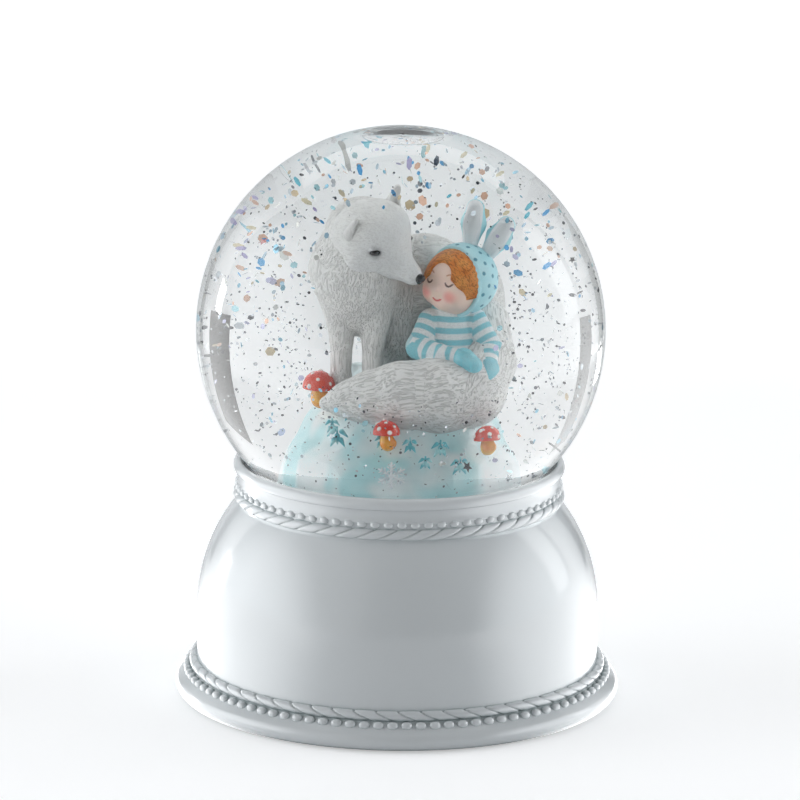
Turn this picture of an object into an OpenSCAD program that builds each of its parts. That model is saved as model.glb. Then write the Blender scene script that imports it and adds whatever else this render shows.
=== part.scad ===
// Water-filled night-light snow globe: a glass ball on a moulded base, with an arctic fox and a child.
// Millimetres. Z is up, the table is z = 0 and the front of the globe faces -Y.

/* [Globe] */
// Outer diameter of the glass ball
globe_d = 100; // [80:1:120]
// Thickness of the blown glass
glass_wall = 2.4; // [1.6:0.1:3.4]
// How much the top of the ball is flattened
top_flat = 1.1; // [0:0.1:1.5]
// Depth of the air bubble left above the liquid
air_gap = 1.0; // [0.4:0.1:3]
// Gap between the liquid and the glass, so that the two solids stay apart
liquid_gap = 0.05; // [0.02:0.01:0.2]
// Thickness of the stopper inside the neck
plug_h = 7.5; // [5:0.5:12]
// Gap between the stopper and the neck, taken up by the glue
plug_gap = 0.15; // [0.05:0.05:0.4]

/* [Base] */
// Height of the base, from the table to the top of the collar lip
base_h = 59.4; // [50:0.2:72]
// How far the foot stands out past the ball on each side
foot_overhang = 4.5; // [3:0.25:9]
// Wall of the moulded housing
shell_wall = 2.2; // [1.6:0.1:2.8]
// Thickness of the two rope mouldings
rope_d = 2.9; // [2:0.1:3.4]
// Thickness of the two beaded mouldings
bead_d = 2.2; // [1.6:0.1:2.6]
// Gap between the ball and the collar lip, filled by the seal
seal_gap = 0.6; // [0.3:0.1:1.2]
// Thickness of the base plate
plate_t = 2.6; // [2.2:0.1:3.2]
// Gap between the base plate and the housing wall
plate_gap = 0.3; // [0.15:0.05:0.8]
// Height of the rubber pads under the base plate
pad_h = 1.2; // [1:0.1:2]
// Diameter of the light window under the stopper
window_d = 35; // [24:1:44]

/* [Power] */
// Diameter of one battery cell
cell_d = 10.5; // [9.5:0.1:12]
// Length of one battery cell over its cap
cell_l = 44.5; // [40:0.5:46]
// Gap between each cell and its neighbours
cell_gap = 0.7; // [0.4:0.1:1.5]
// Diameter of the push button
button_d = 11; // [8:0.5:14]
// How far the push button travels
button_travel = 1.8; // [0.8:0.1:2.4]
// Running gap round the button and the battery door
run_gap = 0.3; // [0.15:0.05:0.6]
// Diameter of the screws' shanks
screw_d = 2.1; // [1.8:0.1:2.6]

/* [Figures] */
// Size of the fox and child against their moulded size
figure_scale = 1; // [0.8:0.02:1.04]
// Number of loose flakes
flakes = 48; // [12:4:90]

/* [Hidden] */
$fn = 64;
e = 0.01;
big = 400;

white = [0.93, 0.94, 0.95];
cream = [0.92, 0.91, 0.88];
aqua = [0.5, 0.82, 0.87];
steel = [0.72, 0.73, 0.75];
black = [0.08, 0.08, 0.09];

// ball and collar
globe_r = globe_d / 2;
k = globe_d / 100;              // the neck, stopper and figures follow the ball
seat_drop = 32.3 * k;           // centre of the ball above the lip
globe_z = base_h + seat_drop;
inner_r = globe_r - glass_wall;
neck_r = 32 * k;
neck_z = globe_z - 40.7 * k;
plug_top = neck_z + plug_h;
lip_r = 40.6 * k;
lip_roll = 1.6;
rope_r = lip_r - 0.7;

// housing
foot_r = globe_r + foot_overhang;
foot_roll = 2.5;
bulge_r = foot_r - 5.2;
rim_z = 0.4;                    // the rim stands just clear of the table; the pads carry the weight
belly_top = base_h - 10.2;
belly_rr = 41.9 * k;            // radius of the rounded shoulder
belly_z = belly_top - 27.2 * k;
belly_c = bulge_r - belly_rr;
deck_top = neck_z - 2.8;
deck_t = 2.2;
room_top = deck_top - deck_t;
bore_r = lip_r - 3.2;
window_r = window_d / 2;

// base plate
plate_r = bulge_r - shell_wall - plate_gap;
plate_z = 1;
plate_top = plate_z + plate_t;
post_at = plate_r - 3.8;
post_r = 4.3 + plate_gap;
screw_r = screw_d / 2;
screw_play = 0.08;
head_r = 2.4;
pad_r = 4.5;

// battery box: three cells side by side along X
pitch = cell_d + cell_gap;
box_y = 4;
box_w = 3 * pitch + 1;
contact_room = 2.8;
box_l = cell_l + 2 * contact_room;
box_wall = 1.6;
door_t = 1.4;
door_l = box_l + 18;
door_w = box_w + 5;
door_screw_x = box_l / 2 + 5.5;
cell_z = plate_top + 0.3 + cell_d / 2;
box_top = cell_z + cell_d / 2 + 0.5;
plate_of_contact = 0.4;

// push switch
button_y = -33;
button_r = button_d / 2;
button_z = plate_z + 0.4;
collar_z = plate_top + 0.1;
stem_top = collar_z + 6;
switch_z = stem_top + button_travel + 0.4;
switch_h = 8;
switch_w = 8.4;
board_t = 1.2;
board_z = switch_z + switch_h;
post_x = 10.5;

// lamp board
lamp_top = room_top - 0.3;
led_h = 8;
lamp_z = lamp_top - led_h - 1.6;
lamp_r = 25;
lamp_post_at = 21;

module ring_of(n) for (i = [0 : n - 1]) rotate([0, 0, 360 * i / n]) children();
module rod(a, b, r) {
    d = b - a;
    translate(a) rotate([0, acos(d[2] / norm(d)), atan2(d[1], d[0])]) cylinder(h = norm(d), r = r);
}
// a run of balls joined by cones: each entry is [point, radius]
module chain(p, t = 0.89) {
    for (q = p) translate(q[0]) sphere(r = q[1]);
    for (i = [0 : len(p) - 2]) {
        d = p[i + 1][0] - p[i][0];
        translate(p[i][0]) rotate([0, acos(d[2] / norm(d)), atan2(d[1], d[0])])
            cylinder(h = norm(d), r1 = t * p[i][1], r2 = t * p[i + 1][1]);
    }
}

// ---- housing ----
module outer_section() {
    translate([0, rim_z]) square([bulge_r, belly_z - rim_z]);
    intersection() {
        translate([belly_c, belly_z]) circle(r = belly_rr);
        translate([0, belly_z - e]) square([bulge_r + 1, belly_top - belly_z]);
    }
    translate([0, belly_z - e]) square([belly_c, belly_top - belly_z]);
    difference() {
        translate([0, belly_top - 3]) square([rope_r, base_h - belly_top + 3 - lip_roll]);
        translate([rope_r + 3.6, base_h - 4.2]) circle(r = 4.1);
    }
    translate([lip_r - lip_roll, base_h - lip_roll]) circle(r = lip_roll);
    translate([0, base_h - 3]) square([lip_r - lip_roll, 3]);
    translate([foot_r - foot_roll, rim_z + foot_roll]) circle(r = foot_roll);
    polygon([[0, rim_z], [foot_r - foot_roll, rim_z], [foot_r - 0.9, rim_z + 4.2], [bulge_r, 8.6],
        [0, 8.6]]);
    translate([rope_r - 0.05, belly_top + 1.35]) circle(d = rope_d);
    translate([rope_r - 0.3, base_h - 6.5]) circle(d = bead_d);
    translate([foot_r - 4.6, 8.7]) circle(d = rope_d);
    translate([foot_r - 2.9, 6.3]) circle(d = bead_d);
}
module base_housing() color(white) difference() {
    union() {
        difference() {
            rotate_extrude() outer_section();
            // the room for the works, from the open underside to the deck
            translate([0, 0, rim_z - 1]) cylinder(h = belly_z - rim_z + 1, r = bulge_r - shell_wall);
            rotate_extrude() intersection() {
                translate([belly_c, belly_z]) circle(r = belly_rr - shell_wall);
                translate([0, belly_z - e]) square([bulge_r, room_top - belly_z]);
            }
            translate([0, 0, belly_z - e]) cylinder(h = room_top - belly_z, r = belly_c + 1);
            // the cup for the neck, opening into the seat of the ball
            translate([0, 0, deck_top]) cylinder(h = base_h, r = bore_r);
            intersection() {
                translate([0, 0, globe_z]) sphere(r = globe_r + seal_gap);
                translate([0, 0, deck_top + 0.5]) cylinder(h = base_h, r = lip_r);
            }
            translate([0, 0, deck_top - 1.3]) cylinder(h = 5, r = window_r + 0.3);
            translate([0, 0, room_top - 5]) cylinder(h = 10, r = window_r - 1.5);
        }
        // posts that take the base plate's screws, joined to the wall
        for (a = [90, 210, 330]) rotate([0, 0, a]) translate([post_at, 0, plate_top + 0.1])
            cylinder(h = 14, r = post_r);
        for (a = [30, 150, 270]) rotate([0, 0, a]) translate([lamp_post_at, 0, lamp_z + 1.6 + 0.05])
            cylinder(h = room_top - lamp_z - 1.6 + 0.5, r = 2.4);
    }
    for (a = [90, 210, 330]) rotate([0, 0, a]) translate([post_at, 0, plate_top - 1])
        cylinder(h = 12, r = screw_r + screw_play);
    for (a = [30, 150, 270]) rotate([0, 0, a]) translate([lamp_post_at, 0, lamp_z])
        cylinder(h = 8, r = 0.9 + screw_play);
}

// ---- base plate and battery box ----
module bottom_cover() color(white) difference() {
    union() {
        translate([0, 0, plate_z]) cylinder(h = plate_t, r = plate_r);
        translate([-box_l / 2 - box_wall, box_y - box_w / 2 - box_wall, plate_z + 1.5])
            cube([box_l + 2 * box_wall, box_w + 2 * box_wall, box_top - plate_z - 1.5 + box_wall]);
        for (s = [-1, 1]) translate([s * door_screw_x, box_y, plate_z + 1.5]) cylinder(h = 11.5, r = 5);
        for (s = [-1, 1]) translate([s * post_x, button_y, plate_z + 1])
            cylinder(h = board_z - plate_z - 1, r = 2.4);
    }
    // room for the cells, and the recess the door lies in
    translate([-box_l / 2, box_y - box_w / 2, plate_z - 1]) cube([box_l, box_w, box_top - plate_z + 1]);
    translate([-door_l / 2 - run_gap, box_y - door_w / 2 - run_gap, plate_z - 1])
        cube([door_l + 2 * run_gap, door_w + 2 * run_gap, door_t + 1.05]);
    for (s = [-1, 1]) translate([s * door_screw_x, box_y, 0]) {
        cylinder(h = plate_top + 1.2, r = 3.6 + run_gap);
        cylinder(h = plate_top + 8.6, r = 1.2 + screw_play);
    }
    // button opening, screw holes and pad seats
    translate([0, button_y, 0]) cylinder(h = plate_top + 1, r = button_r + run_gap);
    for (s = [-1, 1]) translate([s * post_x, button_y, board_z - 7]) cylinder(h = 8, r = 0.9 + screw_play);
    for (a = [90, 210, 330]) rotate([0, 0, a]) translate([post_at, 0, 0]) {
        cylinder(h = plate_top + 1, r = screw_r + 0.3);
        translate([0, 0, plate_z - e]) cylinder(h = 1.75, r1 = head_r + 0.2, r2 = screw_r + 0.3);
    }
    pad_places() translate([0, 0, 0]) cylinder(h = pad_h, r = pad_r + 0.1);
    // contact slots that let the leads out of the box
    for (y = [-pitch, pitch]) translate([box_l / 2 - 1, box_y + y - 1, box_top - 4]) cube([6, 2, 3]);
}
module pad_places()
    for (q = [[28, 31], [-28, 31], [27, -30], [-27, -30]]) translate([q[0], q[1], 0]) children();
module foot_pads() color([0.85, 0.86, 0.87]) pad_places() cylinder(h = pad_h, r = pad_r);
module cover_screws() color(steel)
    for (a = [90, 210, 330]) rotate([0, 0, a]) translate([post_at, 0, plate_z + 0.1]) difference() {
        union() {
            cylinder(h = 1.5, r1 = head_r, r2 = screw_r);
            cylinder(h = plate_t + 8, r = screw_r);
        }
        translate([-0.3, -1.4, -e]) cube([0.6, 2.8, 0.8]);
        translate([-1.4, -0.3, -e]) cube([2.8, 0.6, 0.8]);
    }
module battery_door() color(white) difference() {
    union() {
        translate([-door_l / 2, box_y - door_w / 2, plate_z]) cube([door_l, door_w, door_t]);
        for (s = [-1, 1]) translate([s * door_screw_x, box_y, plate_z + 0.5])
            cylinder(h = plate_t + 0.4, r = 3.6);
        for (i = [-2 : 2]) translate([-16, box_y + i * 4 - 0.5, plate_z + door_t - e]) cube([32, 1, 0.8]);
    }
    for (s = [-1, 1]) translate([s * door_screw_x, box_y, 0]) {
        cylinder(h = plate_z + 1.9, r = 2.7);
        cylinder(h = plate_top + 2, r = 1.45);
    }
    // finger grip grooves
    for (i = [-2 : 2]) translate([-9, box_y + i * 2.4 - 0.4, plate_z - e]) cube([18, 0.8, 0.5]);
}
module door_screw(s) color(steel) translate([s * door_screw_x, box_y, plate_z + 0.15]) difference() {
    union() {
        cylinder(h = 1.7, r = 2.5);
        cylinder(h = 10, r = 1.2);
    }
    translate([-0.35, -1.6, -e]) cube([0.7, 3.2, 0.9]);
    translate([-1.6, -0.35, -e]) cube([3.2, 0.7, 0.9]);
}
module door_screw_left() door_screw(-1);
module door_screw_right() door_screw(1);

// the cells alternate; s is the side each cell's cap points to
module each_cell() for (i = [-1 : 1]) translate([0, box_y + i * pitch, cell_z])
    mirror([i == 0 ? 1 : 0, 0, 0]) children();
contact_x = box_l / 2 - plate_of_contact;
module battery_cells() color([0.2, 0.45, 0.62]) each_cell() translate([contact_x - cell_l - 0.05, 0, 0])
    rotate([0, 90, 0]) {
        cylinder(h = cell_l - 1.2, d = cell_d);
        cylinder(h = cell_l, r = 1.9);
    }
module contact_plates() color(steel) each_cell() for (s = [-1, 1])
    translate([s > 0 ? contact_x + 0.02 : -contact_x - plate_of_contact - 0.02 + 0.04, -4.5, -4.5])
        cube([plate_of_contact - 0.04, 9, 9]);
spring_l = 2 * contact_x - cell_l - 0.25;
module contact_springs() color(steel) each_cell() translate([-contact_x + 0.05, 0, 0]) rotate([0, 90, 0])
    for (i = [0 : 3]) {
        r = 3.8 - 0.4 * i;
        z = 0.3 + i * (spring_l - 0.65) / 3;
        translate([0, 0, z]) rotate_extrude() translate([r, 0]) circle(r = 0.28);
        if (i < 3) rod([r * cos(120 * i), r * sin(120 * i), z],
            [(r - 0.4) * cos(120 * i), (r - 0.4) * sin(120 * i), z + (spring_l - 0.65) / 3], 0.22);
    }

// ---- push switch ----
module power_button() color([0.78, 0.8, 0.82]) translate([0, button_y, 0]) difference() {
    union() {
        translate([0, 0, button_z]) cylinder(h = collar_z - button_z, r = button_r);
        translate([0, 0, collar_z]) cylinder(h = 0.9, r = button_r + 1.3);
        translate([0, 0, collar_z]) cylinder(h = stem_top - collar_z, r = 2.6);
    }
    translate([0, 0, stem_top - 3]) cylinder(h = 4, r = 1.4);
    translate([0, 0, button_z - 19.4]) sphere(r = 20);
}
module switch_plunger() color(black) translate([0, button_y, stem_top - 3])
    cylinder(h = switch_z - stem_top + 4.2, r = 1.4);
module switch_body() color([0.12, 0.16, 0.3]) translate([0, button_y, switch_z]) difference() {
    translate([-switch_w / 2, -switch_w / 2, 0]) cube([switch_w, switch_w, switch_h]);
    translate([0, 0, -1]) cylinder(h = 2.4 + button_travel + 1, r = 1.7);
}
module switch_board() color([0.1, 0.42, 0.25]) difference() {
    translate([-post_x - 3.5, button_y - 7, board_z]) cube([2 * post_x + 7, 14, board_t]);
    for (s = [-1, 1]) translate([s * post_x, button_y, 0]) cylinder(h = big, r = 1.2);
}
module switch_screws() color(steel) for (s = [-1, 1]) translate([s * post_x, button_y, board_z + board_t])
    difference() {
        union() {
            cylinder(h = 1.2, r = 1.9);
            translate([0, 0, -6.5]) cylinder(h = 7, r = 0.9);
        }
        translate([-0.25, -1.2, 0.7]) cube([0.5, 2.4, 1]);
    }

// ---- lamp ----
module diffuser() color([0.95, 0.96, 0.98, 0.6])
    translate([0, 0, deck_top - 1.3]) cylinder(h = 1.3, r = window_r);
module led_board() color([0.92, 0.93, 0.9]) difference() {
    translate([0, 0, lamp_z]) cylinder(h = 1.6, r = lamp_r);
    for (a = [30, 150, 270]) rotate([0, 0, a]) translate([lamp_post_at, 0, 0]) cylinder(h = big, r = 1.2);
}
module leds() color([0.95, 0.97, 1, 0.7]) for (a = [0, 120, 240]) rotate([0, 0, a])
    translate([8, 0, lamp_z + 1.6]) {
        cylinder(h = 1, r = 2.9);
        cylinder(h = led_h - 2.6, r = 2.5);
        translate([0, 0, led_h - 2.6]) sphere(r = 2.5);
    }
module driver_chip() color(black) translate([-13, -2.5, lamp_z - 1.6]) cube([6, 5, 1.6]);
module resistors() color([0.16, 0.15, 0.14]) for (i = [-1 : 1]) translate([2, i * 4 - 0.65, lamp_z - 0.6])
    cube([2.5, 1.3, 0.6]);
module board_screws() color(steel) for (a = [30, 150, 270]) rotate([0, 0, a])
    translate([lamp_post_at, 0, lamp_z]) difference() {
        union() {
            translate([0, 0, -1.2]) cylinder(h = 1.2, r = 1.9);
            translate([0, 0, -0.6]) cylinder(h = 7.6, r = 0.9);
        }
        translate([-0.25, -1.2, -1.2 - e]) cube([0.5, 2.4, 0.5]);
    }
module lead(p) {
    for (i = [0 : len(p) - 2]) rod(p[i], p[i + 1], 0.6);
    for (q = p) translate(q) sphere(r = 0.62);
}
wx = box_l / 2;
module wire_red() color([0.75, 0.1, 0.08]) lead([[wx + 2.4, box_y + pitch, box_top - 2.5],
    [wx + 7.5, box_y + pitch + 4, box_top + 3],
    [wx - 2, box_y + pitch - 4, lamp_z - 8], [14, 8, lamp_z - 0.9]]);
module wire_black() color(black) lead([[wx + 2.4, box_y - pitch, box_top - 2.5],
    [wx + 6, box_y - pitch - 8, box_top + 4],
    [post_x + 1, button_y + 9, board_z + 5], [5, button_y + 3, board_z + 2]]);
module wire_white() color([0.85, 0.85, 0.83]) lead([[-5, button_y + 3, board_z + 2],
    [-9, button_y + 9, board_z + 6], [-14, -14, lamp_z - 6], [-11, -8, lamp_z - 0.9]]);

// ---- glass ball, liquid and stopper ----
module globe_glass() color([0.9, 0.96, 0.97, 0.25]) difference() {
    union() {
        intersection() {
            translate([0, 0, globe_z]) sphere(r = globe_r);
            translate([-big / 2, -big / 2, neck_z + 2])
                cube([big, big, globe_z + globe_r - top_flat - neck_z - 2]);
        }
        translate([0, 0, neck_z]) cylinder(h = 4 * k, r = neck_r);
    }
    translate([0, 0, globe_z]) sphere(r = inner_r);
    translate([0, 0, neck_z - 1]) cylinder(h = 12 * k, r = neck_r - glass_wall);
}
module stopper() color([0.93, 0.95, 0.95, 0.8]) {
    translate([0, 0, deck_top + 0.1]) cylinder(h = neck_z - deck_top - 0.2, r = neck_r - 0.2);
    translate([0, 0, deck_top + 0.1])
        cylinder(h = plug_top - deck_top - 0.1, r = neck_r - glass_wall - plug_gap);
}
module seat_ring() color([0.8, 0.81, 0.82]) difference() {
    translate([0, 0, deck_top + 0.1]) cylinder(h = 9 * k, r = bore_r - 0.2);
    translate([0, 0, deck_top - 1]) cylinder(h = 20 * k, r = neck_r + 0.4);
    translate([0, 0, globe_z]) sphere(r = globe_r + 0.05);
}
function ball_at(r, z) = sqrt(r * r - pow(globe_z - z, 2));
module lip_seal() color([0.9, 0.92, 0.93, 0.7]) rotate_extrude() polygon([for (q = [[0.05, 1.5],
    [seal_gap - 0.05, 1.5], [seal_gap - 0.05, 0.3], [0.05, 0.3]])
    [ball_at(globe_r + q[0], base_h - q[1]), base_h - q[1]]]);
module liquid() color([0.85, 0.95, 0.95, 0.15]) difference() {
    intersection() {
        translate([0, 0, globe_z]) sphere(r = inner_r - liquid_gap);
        translate([-big / 2, -big / 2, plug_top + 0.05])
            cube([big, big, globe_z + inner_r - air_gap - plug_top - 0.05]);
    }
    figures() {
        mound_shape();
        fox_body_shape();
        fox_head_shape();
        fox_ears_shape();
        fox_nose_shape();
        fox_eyes_shape();
        fox_tail_shape();
        child_body_shape();
        child_head_shape();
        hood_ball();
        hood_ears_shape();
        hair_shape();
        mittens_shape();
        caps_shape();
        stems_shape();
        leaves_shape();
        relief_shape();
    }
    flakes_shape();
    stars_shape();
}

// ---- figures, drawn at their moulded size with the stopper's face at z = 58.5 ----
module figures() translate([0, 0, plug_top]) scale(k * figure_scale) translate([0, 0, -58.5]) children();

module mound_shape() difference() {
    union() {
        translate([0, 0, 58.5]) cylinder(h = 13, r1 = 23.4, r2 = 21.6);
        translate([-0.5, 0.5, 71]) cylinder(h = 11.4, r1 = 20.8, r2 = 11.5);
    }
    // chipped faces
    for (q = [[20, 22.4, 4], [62, 22.7, 7], [101, 22.2, 3], [150, 22.4, 8], [196, 21.9, 5], [232, 22.5, 9],
              [266, 22.6, 4], [300, 22.3, 8], [335, 22.1, 5]])
        rotate([0, 0, q[0]]) translate([q[1], 0, 66]) rotate([0, -q[2], 0])
            translate([0, -25, -30]) cube([20, 50, 60]);
}
module mound() color(aqua) figures() mound_shape();

module fox_body_shape() {
    chain([[[-6, -1, 107.5], 6.4], [[-8, 0.8, 101.5], 8.8], [[-8, 0, 94.5], 7.4]]);
    chain([[[-5, 4, 98], 8.2], [[8, 8.5, 98], 8.3], [[11.5, 6.5, 88], 7.8]]);
    chain([[[-11.2, -2.5, 93], 3.1], [[-11.5, -4.5, 83.6], 2.1], [[-11.9, -6.6, 82.6], 1.8]]);
    chain([[[-5.6, -3, 93], 3.1], [[-6.9, -6, 83.8], 2.1], [[-7.5, -8.2, 82.8], 1.8]]);
}
module fox_body() color(cream) figures() difference() { fox_body_shape(); mound_shape(); }
module fox_head_shape() {
    chain([[[-5, -3, 108.4], 7.2], [[-1.6, -6.2, 106.4], 4.6], [[2.5, -8.6, 104.4], 1.9]]);
}
// the eyes and nose are beads set into sockets in the head
module fox_head() color(cream) figures()
    difference() { fox_head_shape(); fox_body_shape(); fox_eyes_shape(); fox_nose_shape(); }
module fox_ears_shape() {
    chain([[[-1.2, 1.4, 113.2], 2.8], [[-0.6, 2, 118.4], 0.7]]);
    chain([[[-9, -3, 112.6], 2.7], [[-8.3, -5.4, 116.2], 0.8]]);
}
module fox_ears() color(cream) figures()
    difference() { fox_ears_shape(); fox_head_shape(); fox_body_shape(); }
module fox_eyes_shape() {
    translate([-5.3, -9.9, 109.6]) sphere(r = 0.75);
    translate([1.5, -0.3, 109.7]) sphere(r = 0.75);
}
module fox_eyes() color(black) figures() fox_eyes_shape();
module fox_nose_shape() translate([3.7, -9.3, 104.2]) sphere(r = 1.1);
module fox_nose() color(black) figures() fox_nose_shape();
module fox_tail_shape() chain([[[17, 0, 91], 3.4], [[15.4, -7.6, 83], 5.9], [[7, -12.2, 82.6], 6.5],
    [[-1, -13.2, 82.3], 5.3], [[-8, -12.8, 81.5], 3.5], [[-13.2, -12, 80.7], 0.9]]);
module fox_tail() color(cream) figures() difference() { fox_tail_shape(); fox_body_shape(); mound_shape(); }

module child_body_shape() {
    chain([[[9.6, -2.8, 95.2], 4.1], [[9.4, -3.4, 88.5], 5.9]]);
    chain([[[6, -5.2, 94.2], 2.2], [[8, -9, 90.8], 2.1], [[12.6, -10.6, 89.5], 1.7]]);
    chain([[[13.4, -3.6, 94.2], 2.2], [[17, -5, 89.4], 2.1], [[17.2, -9, 87.2], 1.7]]);
}
module child_body() color([0.75, 0.9, 0.93]) figures()
    difference() { child_body_shape(); fox_body_shape(); fox_tail_shape(); }
module child_head_shape() translate([10.4, -3.7, 102]) sphere(r = 6.2);
module child_head() color([0.97, 0.84, 0.77]) figures()
    difference() {
        child_head_shape();
        child_body_shape();
        fox_head_shape();
        fox_nose_shape();
        fox_body_shape();
    }
module hood_ball() translate([11.1, -2.7, 102.4]) sphere(r = 6.9);
module face_opening() translate([10.4, -3.7, 101.4])
    rotate([0, 0, -122]) rotate([0, 90, 0]) cylinder(h = 20, r = 5);
module child_hood() color([0.66, 0.87, 0.92]) figures() difference() {
    hood_ball();
    child_head_shape();
    face_opening();
    child_body_shape();
    fox_body_shape();
    fox_head_shape();
    fox_nose_shape();
}
module hood_ears_shape() {
    chain([[[12.9, -0.6, 108.6], 1.4], [[13.8, 0.3, 113], 1.9], [[14.3, 1, 116], 1.1]]);
    chain([[[16.2, -0.6, 106.4], 1.4], [[18.8, 0.2, 110.2], 1.9], [[20.4, 0.9, 112.7], 1.1]]);
}
module hood_ears() color([0.66, 0.87, 0.92]) figures() difference() { hood_ears_shape(); hood_ball(); }
module hair_shape() {
    chain([[[6.7, -7, 106.6], 1.2], [[4.7, -5.8, 103.4], 0.9]]);
    chain([[[7.6, -7.8, 106.6], 1.2], [[11.6, -9, 104.8], 1.1], [[13.6, -8.7, 101.4], 0.8]]);
}
module child_hair() color([0.85, 0.4, 0.16]) figures()
    difference() { hair_shape(); child_head_shape(); hood_wall(); fox_head_shape(); fox_nose_shape(); }
module hood_wall() difference() { hood_ball(); face_opening(); }
module mittens_shape() {
    chain([[[13.4, -11.2, 89.3], 1.7], [[15.2, -12.2, 88], 1.5]]);
    chain([[[17.2, -10.2, 86.8], 1.7], [[17, -12.2, 85], 1.4]]);
}
module mittens() color(aqua) figures()
    difference() { mittens_shape(); child_body_shape(); fox_tail_shape(); }

// each mushroom: [x, y, foot height, cap radius, stem height]
mushrooms = [[-15.4, -7, 78, 3.2, 4.4], [-3.3, -21.3, 70.6, 2.8, 4.4], [17.2, -17.4, 69.6, 2.8, 4.2]];
module caps_shape() for (m = mushrooms) translate([m[0], m[1], m[2] + m[4]]) difference() {
    sphere(r = m[3]);
    translate([-5, -5, -10.4]) cube([10, 10, 10]);
}
module mushroom_caps() color([0.85, 0.16, 0.08]) figures()
    difference() { caps_shape(); fox_tail_shape(); fox_body_shape(); }
module stems_shape() for (m = mushrooms) translate([m[0], m[1], m[2] - 1.6])
    cylinder(h = m[4] + 1.2, r1 = 0.62 * m[3], r2 = 0.42 * m[3]);
module mushroom_stems() color([0.95, 0.6, 0.12]) figures()
    difference() { stems_shape(); mound_shape(); caps_shape(); fox_tail_shape(); fox_body_shape(); }

// leaf: the lens where two balls cross
module leaf(p, a, t) translate(p) rotate([t, 0, a]) intersection() {
    translate([0, 0, 1.9]) sphere(r = 2.6);
    translate([0, 0, -1.9]) sphere(r = 2.6);
}
module leaves_shape() {
    leaf([-12.4, -19.4, 72.3], 10, 60);
    leaf([-9.6, -20.6, 72.6], -25, 60);
    leaf([1.8, -22.1, 73.2], 20, 55);
    leaf([8.2, -21.6, 72], -15, 60);
    leaf([12.6, -20.6, 67.2], 25, 70);
}
module leaves() color([0.25, 0.62, 0.7]) figures()
    difference() { leaves_shape(); mound_shape(); fox_tail_shape(); stems_shape(); caps_shape(); }
// snowflake on the front face of the mound, in that face's own plane
module flake_arm() {
    translate([-0.28, 0]) square([0.56, 3]);
    for (s = [-1, 1]) translate([0, 1.5]) rotate(s * 55) translate([-0.2, 0]) square([0.4, 1.2]);
}
module relief_shape() rotate([0, 0, 266]) translate([22.6, 0, 66]) rotate([0, -4, 0])
    translate([0.02, 0, -0.4]) rotate([90, 0, 90]) linear_extrude(0.9)
        for (a = [0 : 60 : 300]) rotate(a) flake_arm();
module snowflake_relief() color([0.85, 0.93, 0.95]) figures() relief_shape();

// loose flakes: spread over a spiral between the figures and the glass
function spiral(i, n, lo, hi) =
    let (h = lo + (hi - lo) * (i + 0.5) / n, a = 137.508 * i, c = sqrt(1 - h * h))
    [c * cos(a), c * sin(a), h];
module flakes_shape() for (i = [0 : flakes - 1]) {
    p = spiral(i, flakes, -0.5, 0.93);
    d = (0.74 + 0.036 * (i % 5)) * (globe_r - glass_wall);
    translate([0, 0, globe_z]) translate(d * p) rotate([61 * i, 37 * i, 0])
        cylinder(h = 0.15, r = 0.8, $fn = 6);
}
module glitter_flakes() color([0.8, 0.85, 0.95]) flakes_shape();
module star() linear_extrude(0.15)
    polygon([for (i = [0 : 9]) (i % 2 == 0 ? 1.6 : 0.7) * [sin(36 * i), cos(36 * i)]]);
module stars_shape() translate([0, 0, globe_z]) scale(k)
    for (q = [[14.6, -27, -24, 70], [10.6, -29.5, -27, 40],
    [36, -8, 16, 100], [-31, -11, 20, 80], [-12, 34, 12, 20], [22, 24, -22, 60]])
    translate([q[0], q[1], q[2]]) rotate([q[3], 10, 0]) star();
module glitter_stars() color(steel) stars_shape();

base_housing();
bottom_cover();
cover_screws();
foot_pads();
battery_door();
door_screw_left();
door_screw_right();
battery_cells();
contact_plates();
contact_springs();
power_button();
switch_plunger();
switch_body();
switch_board();
switch_screws();
diffuser();
led_board();
leds();
driver_chip();
resistors();
board_screws();
wire_red();
wire_black();
wire_white();
globe_glass();
liquid();
stopper();
seat_ring();
lip_seal();
mound();
fox_body();
fox_head();
fox_ears();
fox_eyes();
fox_nose();
fox_tail();
child_body();
child_head();
child_hood();
hood_ears();
child_hair();
mittens();
mushroom_caps();
mushroom_stems();
leaves();
snowflake_relief();
glitter_flakes();
glitter_stars();
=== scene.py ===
"""Dresses the snow globe: glass ball and filling, glossy moulded base, painted resin figures, glitter and works."""

import logging
import math
from dataclasses import dataclass, field
from enum import Enum
from typing import Callable, Iterable, Sequence

import bpy
import numpy as np
import openvdb as vdb
from mathutils import Matrix, Vector


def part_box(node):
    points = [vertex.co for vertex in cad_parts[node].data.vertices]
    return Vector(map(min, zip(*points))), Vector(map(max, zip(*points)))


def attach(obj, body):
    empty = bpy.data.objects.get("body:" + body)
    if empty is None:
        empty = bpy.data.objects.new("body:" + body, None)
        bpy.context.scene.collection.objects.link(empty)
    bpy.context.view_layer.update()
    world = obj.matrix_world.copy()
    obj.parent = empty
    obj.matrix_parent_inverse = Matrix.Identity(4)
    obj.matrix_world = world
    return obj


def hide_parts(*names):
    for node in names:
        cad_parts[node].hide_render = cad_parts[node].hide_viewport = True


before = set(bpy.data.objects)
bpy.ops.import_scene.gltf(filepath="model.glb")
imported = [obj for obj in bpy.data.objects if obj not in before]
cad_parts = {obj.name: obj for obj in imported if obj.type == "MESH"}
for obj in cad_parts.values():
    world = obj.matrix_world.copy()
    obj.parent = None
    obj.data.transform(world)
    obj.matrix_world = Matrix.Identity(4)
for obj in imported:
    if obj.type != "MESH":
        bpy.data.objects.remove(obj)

LOG = logging.getLogger("snow_globe")
MM = 0.001
BODY = "globe"
Point = Sequence[float]
Colour = tuple[float, float, float]
Socket = bpy.types.NodeSocket
Sockets = dict[str, bpy.types.NodeSocket]


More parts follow.
